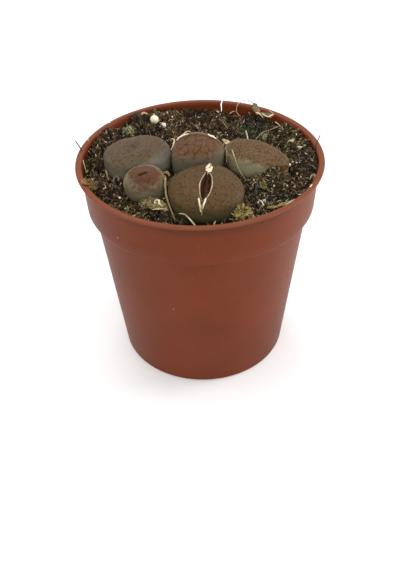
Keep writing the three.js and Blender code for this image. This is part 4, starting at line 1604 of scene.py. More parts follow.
    def litter(self, name: str, count: int, zones: tuple[Zone, ...], base: float, length: tuple[float, float],
               lift: float, finish: Fragments, slot: Slot, seed: int) -> bpy.types.Object:
        """Small leaflets that lie or stand on the ground.

        Args:
            name: The piece's name.
            count: How many there are.
            zones: Where they are more common.
            base: How common they are elsewhere.
            length: Their least and greatest length.
            lift: How steeply they stand, from 0 to 1.
            finish: Their finish.
            slot: Their material slot.
            seed: Makes the draw repeatable.

        Returns:
            The piece.
        """
        rng = np.random.default_rng(seed)
        spots = self.strewn(count, zones, base, rng)
        long = length[0] + (length[1] - length[0]) * rng.random(count) ** 1.6
        direction = rng.normal(size=(count, 3)) * [1, 1, 0.4]
        direction[:, 2] = np.abs(direction[:, 2]) + lift * 1.2 * rng.random(count)
        direction = unit(direction)
        centres = spots + direction * (long * 0.32)[:, None]
        centres[:, 2] += 0.05
        sizes = np.stack([long, long * (0.28 + 0.2 * rng.random(count)), 0.06 + 0.1 * long], axis=-1)
        shape = Shape()
        shape.add(*flakes(centres, direction, sizes, rng))
        return seat(shape.build(name, [finish.material()], smooth=False), slot)

    def perlite(self) -> bpy.types.Object:
        """White specks of perlite."""
        rng = np.random.default_rng(31)
        named = [
            (27.8, -6.5, 0.7), (30.2, -5.0, 0.8), (29.2, -5.8, 0.5), (31.3, -4.3, 0.4), (34.1, -3.2, 0.35),
            (20.7, -21.9, 0.5), (18.6, -22.1, 0.4), (27.8, -21.3, 0.35), (28.4, -15.4, 0.45), (24.1, -15.8, 0.5),
            (25.8, -15.3, 0.35), (32.6, -7.6, 0.5), (-31.8, -8.0, 0.5), (-26.3, -19.7, 0.6), (-16.8, 34.2, 0.4),
            (-14.7, 34.9, 0.3), (-11.8, 34.5, 0.35), (-11.0, 35.0, 0.3), (-10.0, 34.1, 0.45), (18.4, 18.3, 0.6),
            (-30.3, 29.2, 0.4), (36.0, 9.0, 0.45), (35.0, 8.2, 0.35), (10.4, 22.0, 0.25),
        ]
        x, y, size = np.array(named).T
        spots = np.stack([x, y, self.height(x, y) + 0.25 * size], axis=-1)
        more = self.strewn(130, (Zone(26, -16, 8), Zone(-14, 34, 6, 0.7), Zone(30, -3, 6, 0.6)), 0.12, rng)
        spots = np.concatenate([spots, more])
        size = np.concatenate([size, 0.1 + 0.16 * rng.random(len(more))])[:, None]
        sizes = size * (0.7 + 0.5 * rng.random((len(spots), 3)))
        shape = Shape()
        shape.add(*lumps(spots, sizes, 0.5, rng))
        finish = Mineral("perlite_white", tint(0xEDE8E0), tint(0xB9AE9C), 0.8)
        return seat(shape.build("perlite_specks", [finish.material()], smooth=False), Slot.PERLITE)


@dataclass
class MossCushion:
    """A cushion of moss: a low core with leafy shoots all over it."""

    name: str
    node: str
    centre: Point
    radii: Point
    shoots: int
    length: float
    finish: Fragments
    slot: Slot
    seed: int
    leaf_width: float = 0.3

    def build(self, peat: PeatBed) -> bpy.types.Object:
        """Builds and dresses the cushion.

        Args:
            peat: The ground that it grows in.

        Returns:
            The cushion.
        """
        rng = np.random.default_rng(self.seed)
        centre = np.array(self.centre) + [0, 0, POT_HEIGHT]
        shape = Shape()
        rise = np.linspace(-math.pi / 2, math.pi / 2, 18)[:, None]
        turn = np.linspace(0, 2 * math.pi, 36, endpoint=False)[None]
        ball = np.stack([np.cos(rise) * np.cos(turn), np.cos(rise) * np.sin(turn), np.sin(rise) + 0 * turn], axis=-1)
        core = ball * self.radii
        uneven = 1 + 0.25 * rough_noise(core.reshape(-1, 3) + centre, 1.2, 2, self.seed).reshape(ball.shape[:2])
        shape.add(*skin_of(centre + core * uneven[..., None] * 0.92))
        climb = 0.1 + 0.9 * rng.random(self.shoots)
        bearing = np.arange(self.shoots) * GOLDEN_ANGLE + rng.random(self.shoots)
        reach = np.cos(climb * math.pi / 2)
        out = unit(np.stack([reach * np.cos(bearing), reach * np.sin(bearing), climb], axis=-1))
        roots = centre + out * self.radii * 0.9
        whorl = 7
        roots = np.repeat(roots, whorl, axis=0)
        axis = np.repeat(out, whorl, axis=0)
        spread = unit(axis + 0.75 * rng.normal(size=axis.shape))
        long = self.length * (0.55 + 0.6 * rng.random(len(roots)))
        along = np.repeat(rng.random(self.shoots), whorl) * self.length * 0.5
        middles = roots + axis * along[:, None] + spread * (0.4 * long)[:, None]
        sizes = np.stack([long, self.leaf_width * (0.7 + 0.6 * rng.random(len(long))), 0.1 + 0 * long], axis=-1)
        x, y, z = middles.T
        kept = ~peat.covered(x, y, 1.0) & (np.hypot(x, y) < 40.0) & (z > peat.coarse(x, y) - 1.0)
        shape.add(*flakes(middles[kept], spread[kept], sizes[kept], rng))
        made = shape.build(self.name, [self.finish.material()], smooth=False)
        return seat(made, self.slot, *([self.node] if self.node else []))


@dataclass
class Strand:
    """A straw, hair or root: a tapering tube along a curve; heights are from the rim's top."""

    name: str
    route: tuple[Point, ...]
    radius: tuple[float, float]
    flatness: float
    finish: DryTissue
    slot: Slot
    node: str = ""
    wave: float = 0.05

    def build(self) -> bpy.types.Object:
        """Builds and dresses the strand."""
        path = curve_through(self.route, 48) + [0, 0, POT_HEIGHT]
        path += self.wave * np.stack([smooth_noise(path, 1.6, 20 + n) for n in range(3)], axis=-1)
        share = np.linspace(0, 1, len(path))
        radius = self.radius[0] + (self.radius[1] - self.radius[0]) * share
        radius = radius * (1 + 0.12 * smooth_noise(path, 0.8, 6)) * np.minimum(1, 0.35 + 6 * np.minimum(share, 1 - share))
        shape = Shape()
        shape.add(*tube(path, radius, 10, self.flatness))
        made = shape.build(self.name, [self.finish.material()])
        return seat(made, self.slot, *([self.node] if self.node else []))


@dataclass
class DeadLeaf:
    """A dead leaf lying along a curve, widest in its middle, with a midrib, ripples and torn edges."""

    name: str
    route: tuple[Point, ...]
    width: float
    arch: float
    finish: DryTissue
    node: str = ""
    seed: int = 1
    slot: Slot = Slot.DEAD_LEAF
    ripple: float = 0.22

    def build(self) -> bpy.types.Object:
        """Builds and dresses the leaf."""
        rows, columns = 60, 18
        path = curve_through(self.route, rows) + [0, 0, POT_HEIGHT]
        forward = unit(np.gradient(path, axis=0))
        side = unit(np.stack([-forward[:, 1], forward[:, 0], 0 * forward[:, 0]], axis=-1))
        s, w = np.linspace(0, 1, rows)[:, None], np.linspace(-1, 1, columns)[None]
        half = self.width / 2 * (0.12 + 0.88 * np.sin(math.pi * np.clip(s * 0.96 + 0.02, 0, 1)) ** 0.7)
        torn = 1 + 0.22 * smooth_noise(path * 1.0, 1.1, self.seed)[:, None] * np.abs(w)
        points = path[:, None] + side[:, None] * (half * w * torn)[..., None]
        ripple = self.ripple * rough_noise(points.reshape(-1, 3), 1.3, 2, self.seed + 2).reshape(rows, columns)
        points[..., 2] += -self.arch * w**2 + ripple + 0.08 * np.exp(-((w / 0.12) ** 2))
        thickness = 0.28 * (1 - 0.6 * np.abs(w) ** 3) + 0 * s
        shape = Shape()
        shape.add(*sheet(points, thickness))
        made = shape.build(self.name, [self.finish.material()])
        return seat(made, self.slot, *([self.node] if self.node else []))


@dataclass
class ShedSkin:
    """Dry skin on a head: a crumpled patch that stands a little off it.

    The bearings (degrees) and climb say which patch it covers; stand is how far off it is, low and high.
    """

    name: str
    node: str
    head: StoneHead
    bearings: tuple[float, float]
    climb: tuple[float, float]
    stand: tuple[float, float]
    finish: DryTissue
    taper: float = 1.0
    ragged: float = 0.2
    crumple: float = 0.25
    curl: float = 0.0
    thickness: float = 0.22
    roll: float = 0.0
    seed: int = 1
    fine: tuple[int, int] = (70, 26)

    def place(self, bearing: Array, t: Array, off: Array) -> Array:
        """Points at a distance off the head's skin."""
        here = self.head.points(bearing, t)
        along = self.head.points(bearing + 0.02, t) - here
        up = self.head.points(bearing, t + 0.02) - here
        return here + unit(np.cross(along, up)) * off[..., None]

    def grid(self) -> Array:
        """The middle of the sheet, as a grid of points."""
        u, v = np.meshgrid(np.linspace(-1, 1, self.fine[0]), np.linspace(0, 1, self.fine[1]), indexing="ij")
        middle, half = sum(self.bearings) / 2, (self.bearings[1] - self.bearings[0]) / 2
        narrow = self.taper + (1 - self.taper) * v
        bearing = np.radians(middle + half * u * narrow)
        edge = smooth_noise(np.stack([4 * u, v, 0 * u], axis=-1).reshape(-1, 3), 0.7, self.seed).reshape(u.shape)
        t = self.climb[0] + (self.climb[1] - self.climb[0]) * v * (1 + self.ragged * edge)
        off = self.stand[0] + (self.stand[1] - self.stand[0]) * v + self.curl * u**2
        points = self.place(bearing, np.minimum(t, 1.97), off)
        folds = rough_noise(points.reshape(-1, 3) * [1, 1, 0.6], 1.5, 3, self.seed + 4).reshape(u.shape)
        shift = self.place(bearing, np.minimum(t, 1.97), off + 1) - points
        return points + shift * (self.crumple * folds * (0.3 + 0.7 * v) + self.roll * np.sin(math.pi * v))[..., None]

    def build(self) -> bpy.types.Object:
        """Builds and dresses the skin."""
        grid = self.grid()
        rows, columns = grid.shape[:2]
        edge = np.minimum(np.linspace(0, 1, rows), np.linspace(1, 0, rows))[:, None]
        thickness = self.thickness * (0.35 + 0.65 * step(np.minimum(edge, 0.1), 0, 0.1)) + 0 * np.zeros((rows, columns))
        shape = Shape()
        shape.add(*sheet(grid, thickness))
        return seat(shape.build(self.name, [self.finish.material()]), Slot.DRY_SKIN, self.node)


# ---- Floor, lights and camera ----


@dataclass
class Studio:
    """A plain pale floor, soft lights and the camera."""

    eye: Point = (0.0, -0.227116, 0.211907)
    right: Point = (0.99968, -0.012976, -0.021604)
    up: Point = (0.024886, 0.643429, 0.765101)
    forward: Point = (-0.003973, 0.765396, -0.643548)
    lens: float = 48.0
    floor_size: float = 6.0

    def build(self) -> None:
        """Sets up all of it."""
        self.camera()
        self.floor()
        self.lights()
        scene = bpy.context.scene
        scene.view_settings.view_transform = "Standard"
        scene.view_settings.look = "None"

    def camera(self) -> None:
        """The camera, above and in front of the pot."""
        data = bpy.data.cameras.new("camera")
        data.lens, data.sensor_width, data.sensor_fit = self.lens, 36.0, "AUTO"
        data.clip_start, data.clip_end = 0.01, 20.0
        made = bpy.data.objects.new("camera", data)
        axes = Matrix((self.right, self.up, tuple(-c for c in self.forward))).transposed()
        made.matrix_world = Matrix.Translation(self.eye) @ axes.to_4x4()
        bpy.context.scene.collection.objects.link(made)
        bpy.context.scene.camera = made

    def floor(self) -> None:
        """The floor, a broad sheet with its top at height 0."""
        half, cells = self.floor_size / 2 / MM, 9
        line = np.linspace(-half, half, cells)
        x, y = np.meshgrid(line, line, indexing="ij")
        shape = Shape()
        shape.add(np.stack([x.ravel(), y.ravel(), np.full(x.size, -0.05)], axis=-1), grid_faces(cells, cells))
        material, graph = new_material("pale_floor")
        shade = graph.effect(mottle(), Size=400.0, Detail=2.0, Low=0.3, High=0.7)
        colour = graph.blend(shade, (0.93, 0.93, 0.93, 1.0), (0.95, 0.95, 0.95, 1.0))
        graph.surface(colour, 0.9, Specular_IOR_Level=0.1)
        made = shape.build("floor", [material])

    def lights(self) -> None:
        """White surroundings, and soft lights high behind the pot, in front of it and at its sides."""
        world = bpy.data.worlds.new("studio")
        world.use_nodes = True
        world.node_tree.nodes["Background"].inputs[0].default_value = (1.0, 1.0, 1.0, 1.0)
        world.node_tree.nodes["Background"].inputs[1].default_value = 0.96
        bpy.context.scene.world = world
        for name, place, size, power in (
            ("window", (-0.2, 0.45, 0.95), 0.6, 2.8),
            ("front", (0.05, -0.75, 0.5), 0.5, 1.9),
            ("side_left", (-0.6, 0.12, 0.26), 0.4, 0.5),
            ("side_right", (0.6, 0.12, 0.26), 0.4, 2.6),
        ):
            data = bpy.data.lights.new(name, "AREA")
            data.shape, data.size, data.energy = "DISK", size, power
            lamp = bpy.data.objects.new(name, data)
            lamp.location = place
            lamp.rotation_mode = "QUATERNION"
            lamp.rotation_quaternion = (Vector(place) - Vector((0, 0, 0.07))).to_track_quat("Z", "Y")
            bpy.context.scene.collection.objects.link(lamp)


# ---- The whole pot ----

CREAM = DryTissue("cream_skin", tint(0xF2EBD2), tint(0xD6C79C), tint(0x7A6340), 0.35)
SHED = DryTissue("shed_skin", tint(0xD2C19A), tint(0xA98D5F), tint(0x5A4228), 0.5)
OLIVE_SHED = DryTissue("olive_shed_skin", tint(0xAE9F6C), tint(0x6C5A32), tint(0x2C1E0C), 1.0)
DEBRIS = DryTissue("debris_tissue", tint(0x9A8460), tint(0x5E4A30), tint(0x261B10), 0.9)
GREEN_SCRAP = DryTissue("green_scrap", tint(0x6C7656), tint(0x3E4A34), tint(0x161C12), 0.8)
PALE_GREEN = DryTissue("pale_green_leaf", tint(0xD4D0A0), tint(0x8E8C54), tint(0x3C3A1A), 0.7)
GREY_FIBRE = DryTissue("grey_fibre", tint(0x8E867C), tint(0x6E675E), tint(0x48423A), 0.4, 0.6)
ASH_SHED = DryTissue("ash_shed_skin", tint(0x807866), tint(0x5E584A), tint(0x363028), 0.5)
STRAW = DryTissue("straw", tint(0xA08B68), tint(0x7E6B4C), tint(0x544226), 0.4, 0.6)
PALE_STRAW = DryTissue("pale_straw", tint(0xD9CAA6), tint(0xB4986B), tint(0x715636), 0.35, 0.6)
DARK_HAIR = DryTissue("dark_hair", tint(0x3E332A), tint(0x2C241D), tint(0x1A1410), 0.4, 0.6)
BROWN_LEAF = DryTissue("brown_leaf", tint(0xA07C50), tint(0x6C4A28), tint(0x2E1C0C), 0.9)
DEAD_LEAF = DryTissue("dead_leaf", tint(0xA48B58), tint(0x7C663C), tint(0x46351F), 0.5)
# The cream leaflets stand for pale strands and for painted highlights on the tuft.
YELLOW_MOSS = Fragments("yellow_moss", (tint(0x2E260F), tint(0x84722C), tint(0xC4AE5A), tint(0xF0E6B6), tint(0x9A5E26)))
BROWN_MOSS = Fragments("brown_moss", (tint(0x2A1C0C), tint(0x6A4A28), tint(0x9A7844), tint(0xC0A468), tint(0x46441E)))
SHEATH_BITS = Fragments("sheath_bits", (tint(0x241B0C), tint(0x5A4C24), tint(0x8A7842), tint(0xD2C69C), tint(0x5E3A1C)))
OLIVE_MOSS = Fragments("olive_moss", (tint(0x1A1A0C), tint(0x464622), tint(0x7C7C46), tint(0xCECEA2), tint(0x2A2612)))
# The near-white leaflets stand for pale moss tips and for painted highlights on the knob.
GREEN_MOSS = Fragments("green_moss", (tint(0x1C1E0C), tint(0x5C6424), tint(0xA4A85A), tint(0xF6F2D0), tint(0x343A16)))
# The pale leaflets stand for pale flecks and for painted glints on the dark moss.
DARK_MOSS = Fragments("dark_moss", (tint(0x080906), tint(0x12150D), tint(0x262814), tint(0x3A3A20), tint(0xA09C78), tint(0x0C100C)))
BROWN_LITTER = Fragments("brown_litter", (tint(0x0F0A06), tint(0x2C1C0C), tint(0x4A4422), tint(0x8A6A40), tint(0xE0D0AA)))
PALE_LITTER = Fragments("pale_litter", (tint(0xB9AE84), tint(0xD9D2B4), tint(0xEEEAD8), tint(0xA5A06A)))
TAN_FIBRE = Fragments("tan_fibre", (tint(0x1E1107), tint(0x50361C), tint(0x82623A), tint(0xD2BA8E), tint(0x301E0C)))


def make_heads() -> dict[str, StoneHead]:
    """The five living stones."""
    left = StoneHead(
        "back_left", -21.3, 2.1, 11.7, 9.7, 24.6, 2.4, 0.02, -4.5, -0.3, 4.5, -0.01, 0.99,
        StoneSkin("grey_stone_skin", tint(0x564433), tint(0x5F4B2F), tint(0x6E6855), tint(0x5E5C4E), tint(0x20120C),
                  vein_width=0.2, vein_strength=0.85, vein_kept=0.5, vein_piece=0.5, dot_size=1.15, dot_share=0.5,
                  dot_strength=0.6, edge=(0.6, 1.55), bloom=0.05, stain_and_shade=tint(0x2E1F1A), fissure_shade=0.6,
                  rim=tint(0xA8A699)),
        Slot.SKIN_GREY, seed=3,
        fissure_line=((-25.4, -5.6), (-23.3, -3.3), (-21.1, -2.1), (-18.6, 0.9), (-16.6, 4.0)),
        fissure_depth=0.0, fissure_width=0.5, fissure_lip=0.14, fissure_shade_share=0.0,
        net_size=1.25, dimples=((-22.6, 0.6, 1.9, 0.4), (-24.0, -1.6, 1.3, 0.1)),
        # The right end shows more of its flank, which is painted paler as a sheen in the skin's rim colour.
        end=(-25.0, 3.5, 10.0), droop=-0.35, end_sheen=0.6,
    )
    centre = StoneHead(
        "back_centre", -0.3, 0.1, 8.7, 8.6, -18.0, 2.4, 0.27, -5.0, 2.1, 4.5, -0.05, 0.96,
        StoneSkin("red_stone_skin", tint(0x583B20), tint(0x624327), tint(0x6B6350), tint(0x504E42), tint(0x3E1E08),
                  vein_width=0.27, vein_strength=0.95, vein_kept=0.95, vein_piece=1.6, dot_size=1.6, dot_share=0.3,
                  dot_strength=0.3, edge=(0.85, 1.5), ragged=0.25, bloom=0.04, rim=tint(0x775846)),
        Slot.SKIN_RED, seed=5, net_size=2.5, net_depth=0.03,
        fissure_line=((-9.5, 1.6), (-3.8, 3.5), (0.5, 3.1), (4.0, 1.7), (9.0, -1.6)),
        fissure_depth=0.7, fissure_width=0.42, fissure_lip=0.1, pale_behind=True,
    )
    right = StoneHead(
        "back_right", 19.4, -1.1, 11.9, 6.9, -31.0, 2.0, 0.17, -4.5, 0.5, 2.3, 0.09, 0.95,
        StoneSkin("orange_stone_skin", tint(0x5A482C), tint(0x68492A), tint(0x9A9474), tint(0x8E896A), tint(0x351D09),
                  vein_width=0.23, vein_strength=0.85, vein_kept=0.65, vein_piece=0.7, dot_size=0.95, dot_share=0.5,
                  dot_strength=0.5, edge=(0.8, 1.55), ragged=0.25, bloom=0.04),
        Slot.SKIN_ORANGE, seed=8, net_size=1.5, net_depth=0.03, end=(-31.0, 4.2, 11.3), droop=0.7,
    )
    small = StoneHead(
        "front_small", -18.3, -15.0, 7.0, 6.7, 16.7, 2.1, -0.12, -4.5, -0.6, 4.9, -0.01, 0.9,
        StoneSkin("pink_stone_skin", tint(0x52301A), tint(0x5C3A20), tint(0x7C7056), tint(0x5C5A3C), tint(0x2E1207),
                  vein_width=0.22, vein_strength=0.5, dot_size=1.0, dot_share=0.5, dot_strength=0.4,
                  edge=(0.78, 1.28), ragged=0.2, bloom=0.04, stain_and_shade=tint(0x260B05), fissure_shade=1.0),
        Slot.SKIN_RED, seed=13, net_size=1.9, net_depth=0.03,
        fissure_line=((-19.5, -17.6), (-18.5, -17.0), (-17.5, -16.4)), fissure_depth=1.1, fissure_width=0.42,
        window_patch=(-17.9, -16.5, 5.8, 4.9),
    )
    large = StoneHead(
        "front_large", 1.6, -21.6, 11.9, 12.6, 20.9, 2.2, -0.05, -4.5, 0.0, 4.9, 0.01, 0.95,
        StoneSkin("brown_stone_skin", tint(0x4F3C1E), tint(0x594120), tint(0x524E36), tint(0x383C26), tint(0x361909),
                  vein_width=0.27, vein_strength=0.95, vein_kept=0.55, vein_piece=0.6, dot_size=1.3, dot_share=0.6,
                  dot_strength=0.7, edge=(0.3, 1.5), bloom=0.03),
        Slot.SKIN_BROWN, seed=21, segments=320, net_size=1.7, net_depth=0.02,
    )
    return {"left": left, "centre": centre, "right": right, "small": small, "large": large}


def place_heads(heads: dict[str, StoneHead]) -> None:
    """Builds every head and the open split of the large one."""
    for key, node in (("left", "head_back_left"), ("centre", "head_back_centre"), ("right", "head_back_right"),
                      ("small", "head_front_small")):
        seat(heads[key].build(), heads[key].slot, node)
    large = heads["large"].build()
    split = OpenSplit(heads["large"])
    split.open_in(large)
    seat(large, heads["large"].slot, "head_front_large")
    seat(split.lips(), Slot.DRY_SKIN)
    seat(split.shreds(), Slot.SKIN_RED)


def place_skins(heads: dict[str, StoneHead]) -> None:
    """Builds the dry skin that the heads have shed."""
    large, centre, small = heads["large"], heads["centre"], heads["small"]
    skin = Slot.DRY_SKIN
    for leaf in (
        DeadLeaf("shed_cap", ((3.1, -13.9, 5.2), (3.0, -15.1, 5.6), (2.8, -17.0, 5.5), (2.6, -18.6, 5.0)), 2.1, 0.8,
                 CREAM, "dry_skin_cap", 2, skin, 0.4),
        DeadLeaf("shed_curl_left", ((-7.7, 0.6, 5.9), (-6.6, 1.6, 6.5), (-5.2, 2.3, 6.8), (-3.7, 3.0, 6.9)), 0.65, -0.1,
                 CREAM, "dry_skin_left", 4, skin, 0.3),
        DeadLeaf("shed_curl_peak", ((-5.6, 3.4, 6.6), (-4.3, 4.4, 7.1), (-3.0, 4.6, 7.2)), 0.7, -0.1, SHED, "", 7,
                 skin, 0.35),
        DeadLeaf("shed_curl_right", ((2.9, 2.6, 6.7), (4.3, 1.4, 6.6), (5.7, 0.3, 6.3)), 0.75, -0.1, CREAM,
                 "dry_skin_right", 5, skin, 0.25),
        DeadLeaf("shed_scrap_gap", ((8.2, 10.6, 0.4), (9.6, 8.0, 0.8), (10.6, 4.6, 0.2)), 1.5, 0.2, SHED, "", 8, skin,
                 0.4),
        DeadLeaf("shed_scrap_left", ((-9.9, 4.6, 4.2), (-8.6, 3.4, 4.6), (-8.8, 1.6, 4.0), (-9.7, -0.2, 2.8)), 0.6,
                 -0.1, SHED, "", 9, skin, 0.3),
        DeadLeaf("shed_strip_gap", ((8.9, 0.2, 3.2), (9.1, -2.6, 2.2), (8.9, -5.6, 0.4)), 0.35, 0.1, DEBRIS, "", 11,
                 skin, 0.2),
        DeadLeaf("shed_scrap_front", ((-12.0, -12.4, 1.8), (-10.9, -12.9, 2.0), (-10.1, -14.4, 1.2)), 1.0, 0.3, DEBRIS,
                 "", 10, skin, 0.4),
    ):
        leaf.build()
    ShedSkin("shed_split", "dry_skin_split", large, (-120.5, -116), (0.86, 1.3), (0.12, 0.16), OLIVE_SHED,
             taper=0.15, ragged=0.1, crumple=0.2, curl=0.2, seed=3).build()
    sheath = ((-19.0, -23.4, -3.0), (-16.8, -24.5, -1.9), (-14.4, -25.0, -1.3), (-12.2, -25.6, -1.9), (-10.8, -26.8, -3.2))
    DeadLeaf("shed_sheath", sheath, 4.4, 1.1, OLIVE_SHED, "dry_sheath_front_left", 6, skin, 0.7).build()
    for strand in (
        Strand("split_arm_left", ((-0.7, -31.6, 3.9), (-0.5, -32.5, 3.2), (-0.3, -33.5, 2.0), (-0.1, -34.3, 0.4)),
               (0.3, 0.22), 0.8, CREAM, skin, "", 0.12),
        Strand("split_arm_right", ((1.5, -31.7, 3.9), (1.2, -32.5, 3.2), (0.55, -33.5, 1.9), (0.0, -34.2, 0.5)),
               (0.32, 0.2), 0.8, CREAM, skin, "", 0.12),
        Strand("sheath_swirl", ((-14.4, -26.4, -1.5), (-14.6, -25.7, -1.1), (-14.1, -25.1, -0.8), (-13.3, -25.4, -0.9),
                                (-13.3, -26.2, -1.3), (-12.5, -26.9, -1.9)), (0.4, 0.28), 0.7, CREAM, skin, "", 0.15),
        Strand("cap_fold", ((3.3, -14.6, 5.9), (3.55, -15.9, 5.9), (3.2, -17.0, 5.95), (2.7, -17.3, 5.8)),
               (0.2, 0.16), 0.8, DEAD_LEAF, skin),
        Strand("sheath_edge", ((-15.6, -27.2, -3.0), (-13.6, -27.6, -2.5), (-11.8, -27.6, -2.5), (-10.4, -27.8, -3.0)),
               (0.3, 0.2), 0.6, PALE_STRAW, skin),
    ):
        strand.build()


def place_ground(peat: PeatBed) -> None:
    """Builds the peat and all that is strewn on it."""
    peat.bed()
    peat.crumbs()
    peat.strands("peat_fibres", 1300, (Zone(0, 30, 12, 0.6),), 0.6, (1.2, 5.0), (0.05, 0.13), TAN_FIBRE, Slot.STRAW, 41)
    peat.strands("coarse_fibres", 240, (Zone(-8, 33, 12, 0.8), Zone(30, 10, 12, 0.5), Zone(22, -9, 5)), 0.35, (2.0, 5.5), (0.14, 0.3),
                 TAN_FIBRE, Slot.STRAW, 51)
    peat.litter("brown_litter", 2600, (), 1.0, (0.5, 2.4), 0.5, BROWN_LITTER, Slot.SOIL, 42)
    peat.litter("pale_litter", 250, (Zone(36, 8, 4, 0.4), Zone(24, -22, 8), Zone(22, 26, 7, 0.7), Zone(33, -5, 4, 0.5)), 0.12,
                (0.5, 1.5), 0.4, PALE_LITTER, Slot.STRAW, 45)
    peat.litter(
        "yellow_moss_litter", 1400,
        (Zone(35, 11, 6, 0.6), Zone(-35, -10, 6, 0.4), Zone(-24, -26, 8, 0.6), Zone(13, -31, 6, 0.8), Zone(0, -37, 6, 0.6),
         Zone(-14, 35, 6, 0.5), Zone(24, -26, 9, 0.4), Zone(20, -11, 4.5, 0.9), Zone(28, -15, 7, 0.4)),
        0.06, (0.5, 1.5), 0.7, YELLOW_MOSS, Slot.MOSS_YELLOW, 43,
    )
    peat.litter("dark_moss_litter", 1700, (Zone(22, 25, 8), Zone(26, -19, 8, 0.8), Zone(12, -9, 5, 0.5), Zone(-34, -3, 7, 0.5)), 0.04,
                (0.6, 1.6), 0.6, DARK_MOSS, Slot.MOSS_DARK, 44)
    peat.perlite()


def place_moss(peat: PeatBed) -> None:
    """Builds the moss cushions."""
    for cushion in (
        MossCushion("moss_knob", "moss_knob_back_left", (-26.1, 25.4, -4.7), (2.3, 2.1, 2.2), 80, 1.1, GREEN_MOSS,
                    Slot.MOSS_YELLOW, 11),
        MossCushion("moss_patch_dark", "moss_patch_back_right", (21.5, 24.3, -5), (6.4, 6.2, 1.6), 130, 1.4, DARK_MOSS,
                    Slot.MOSS_DARK, 12),
        MossCushion("moss_patch_side", "moss_patch_right", (33.6, 14.6, -5), (2.8, 4.4, 1.6), 110, 1.2, OLIVE_MOSS,
                    Slot.MOSS_YELLOW, 13),
        MossCushion("moss_tuft", "moss_tuft_front_right", (12.6, -30.6, -4.6), (2.6, 2.5, 3.4), 90, 1.8, YELLOW_MOSS,
                    Slot.MOSS_YELLOW, 14, 0.4),
        MossCushion("moss_clump", "moss_clump_left", (-36.5, -14.2, -3.1), (2.0, 2.3, 3), 80, 1.1, BROWN_MOSS,
                    Slot.MOSS_YELLOW, 15),
        MossCushion("moss_bud_right", "", (20.9, -14.8, -3.3), (1.0, 0.9, 1.2), 34, 0.9, YELLOW_MOSS,
                    Slot.MOSS_YELLOW, 17),
        MossCushion("moss_bud_back", "", (23.4, 17.6, -3.6), (0.7, 0.7, 1.1), 24, 0.8, GREEN_MOSS,
                    Slot.MOSS_YELLOW, 18),
        MossCushion("sheath_bits", "", (-15.8, -24.9, -2.6), (3.5, 1.5, 1.6), 80, 1.0, SHEATH_BITS, Slot.DRY_SKIN, 16),
    ):
        cushion.build(peat)


def place_grit() -> None:
    """Builds the fertiliser prill and the large perlite grain."""
    for name, node, centre, radii, uneven, finish, slot in (
        ("prill_ball", "fertiliser_prill", (-16.7, 31.4, -2.3), (1.6, 1.6, 1.6), 0.03,
         Mineral("prill_coating", tint(0xF2EDC6), tint(0xDDD3A0), 0.45), Slot.PRILL),
        ("perlite_chunk", "perlite_grain", (-13.4, 29.8, -4.1), (1.0, 0.85, 1.2), 0.16,
         Mineral("perlite_chunk_white", tint(0xF4F1EC), tint(0xC6BDAF), 0.8), Slot.PERLITE),
    ):
        rise = np.linspace(-math.pi / 2, math.pi / 2, 32)[:, None]
        turn = np.linspace(0, 2 * math.pi, 56, endpoint=False)[None]
        ball = np.stack([np.cos(rise) * np.cos(turn), np.cos(rise) * np.sin(turn), np.sin(rise) + 0 * turn], axis=-1)
        stray = 1 + uneven * rough_noise(ball.reshape(-1, 3) * 2, 0.9, 3, 17).reshape(ball.shape[:2])
        shape = Shape()
        shape.add(*skin_of(np.array(centre) + [0, 0, POT_HEIGHT] + ball * radii * stray[..., None]))
        seat(shape.build(name, [finish.material()]), slot, node)


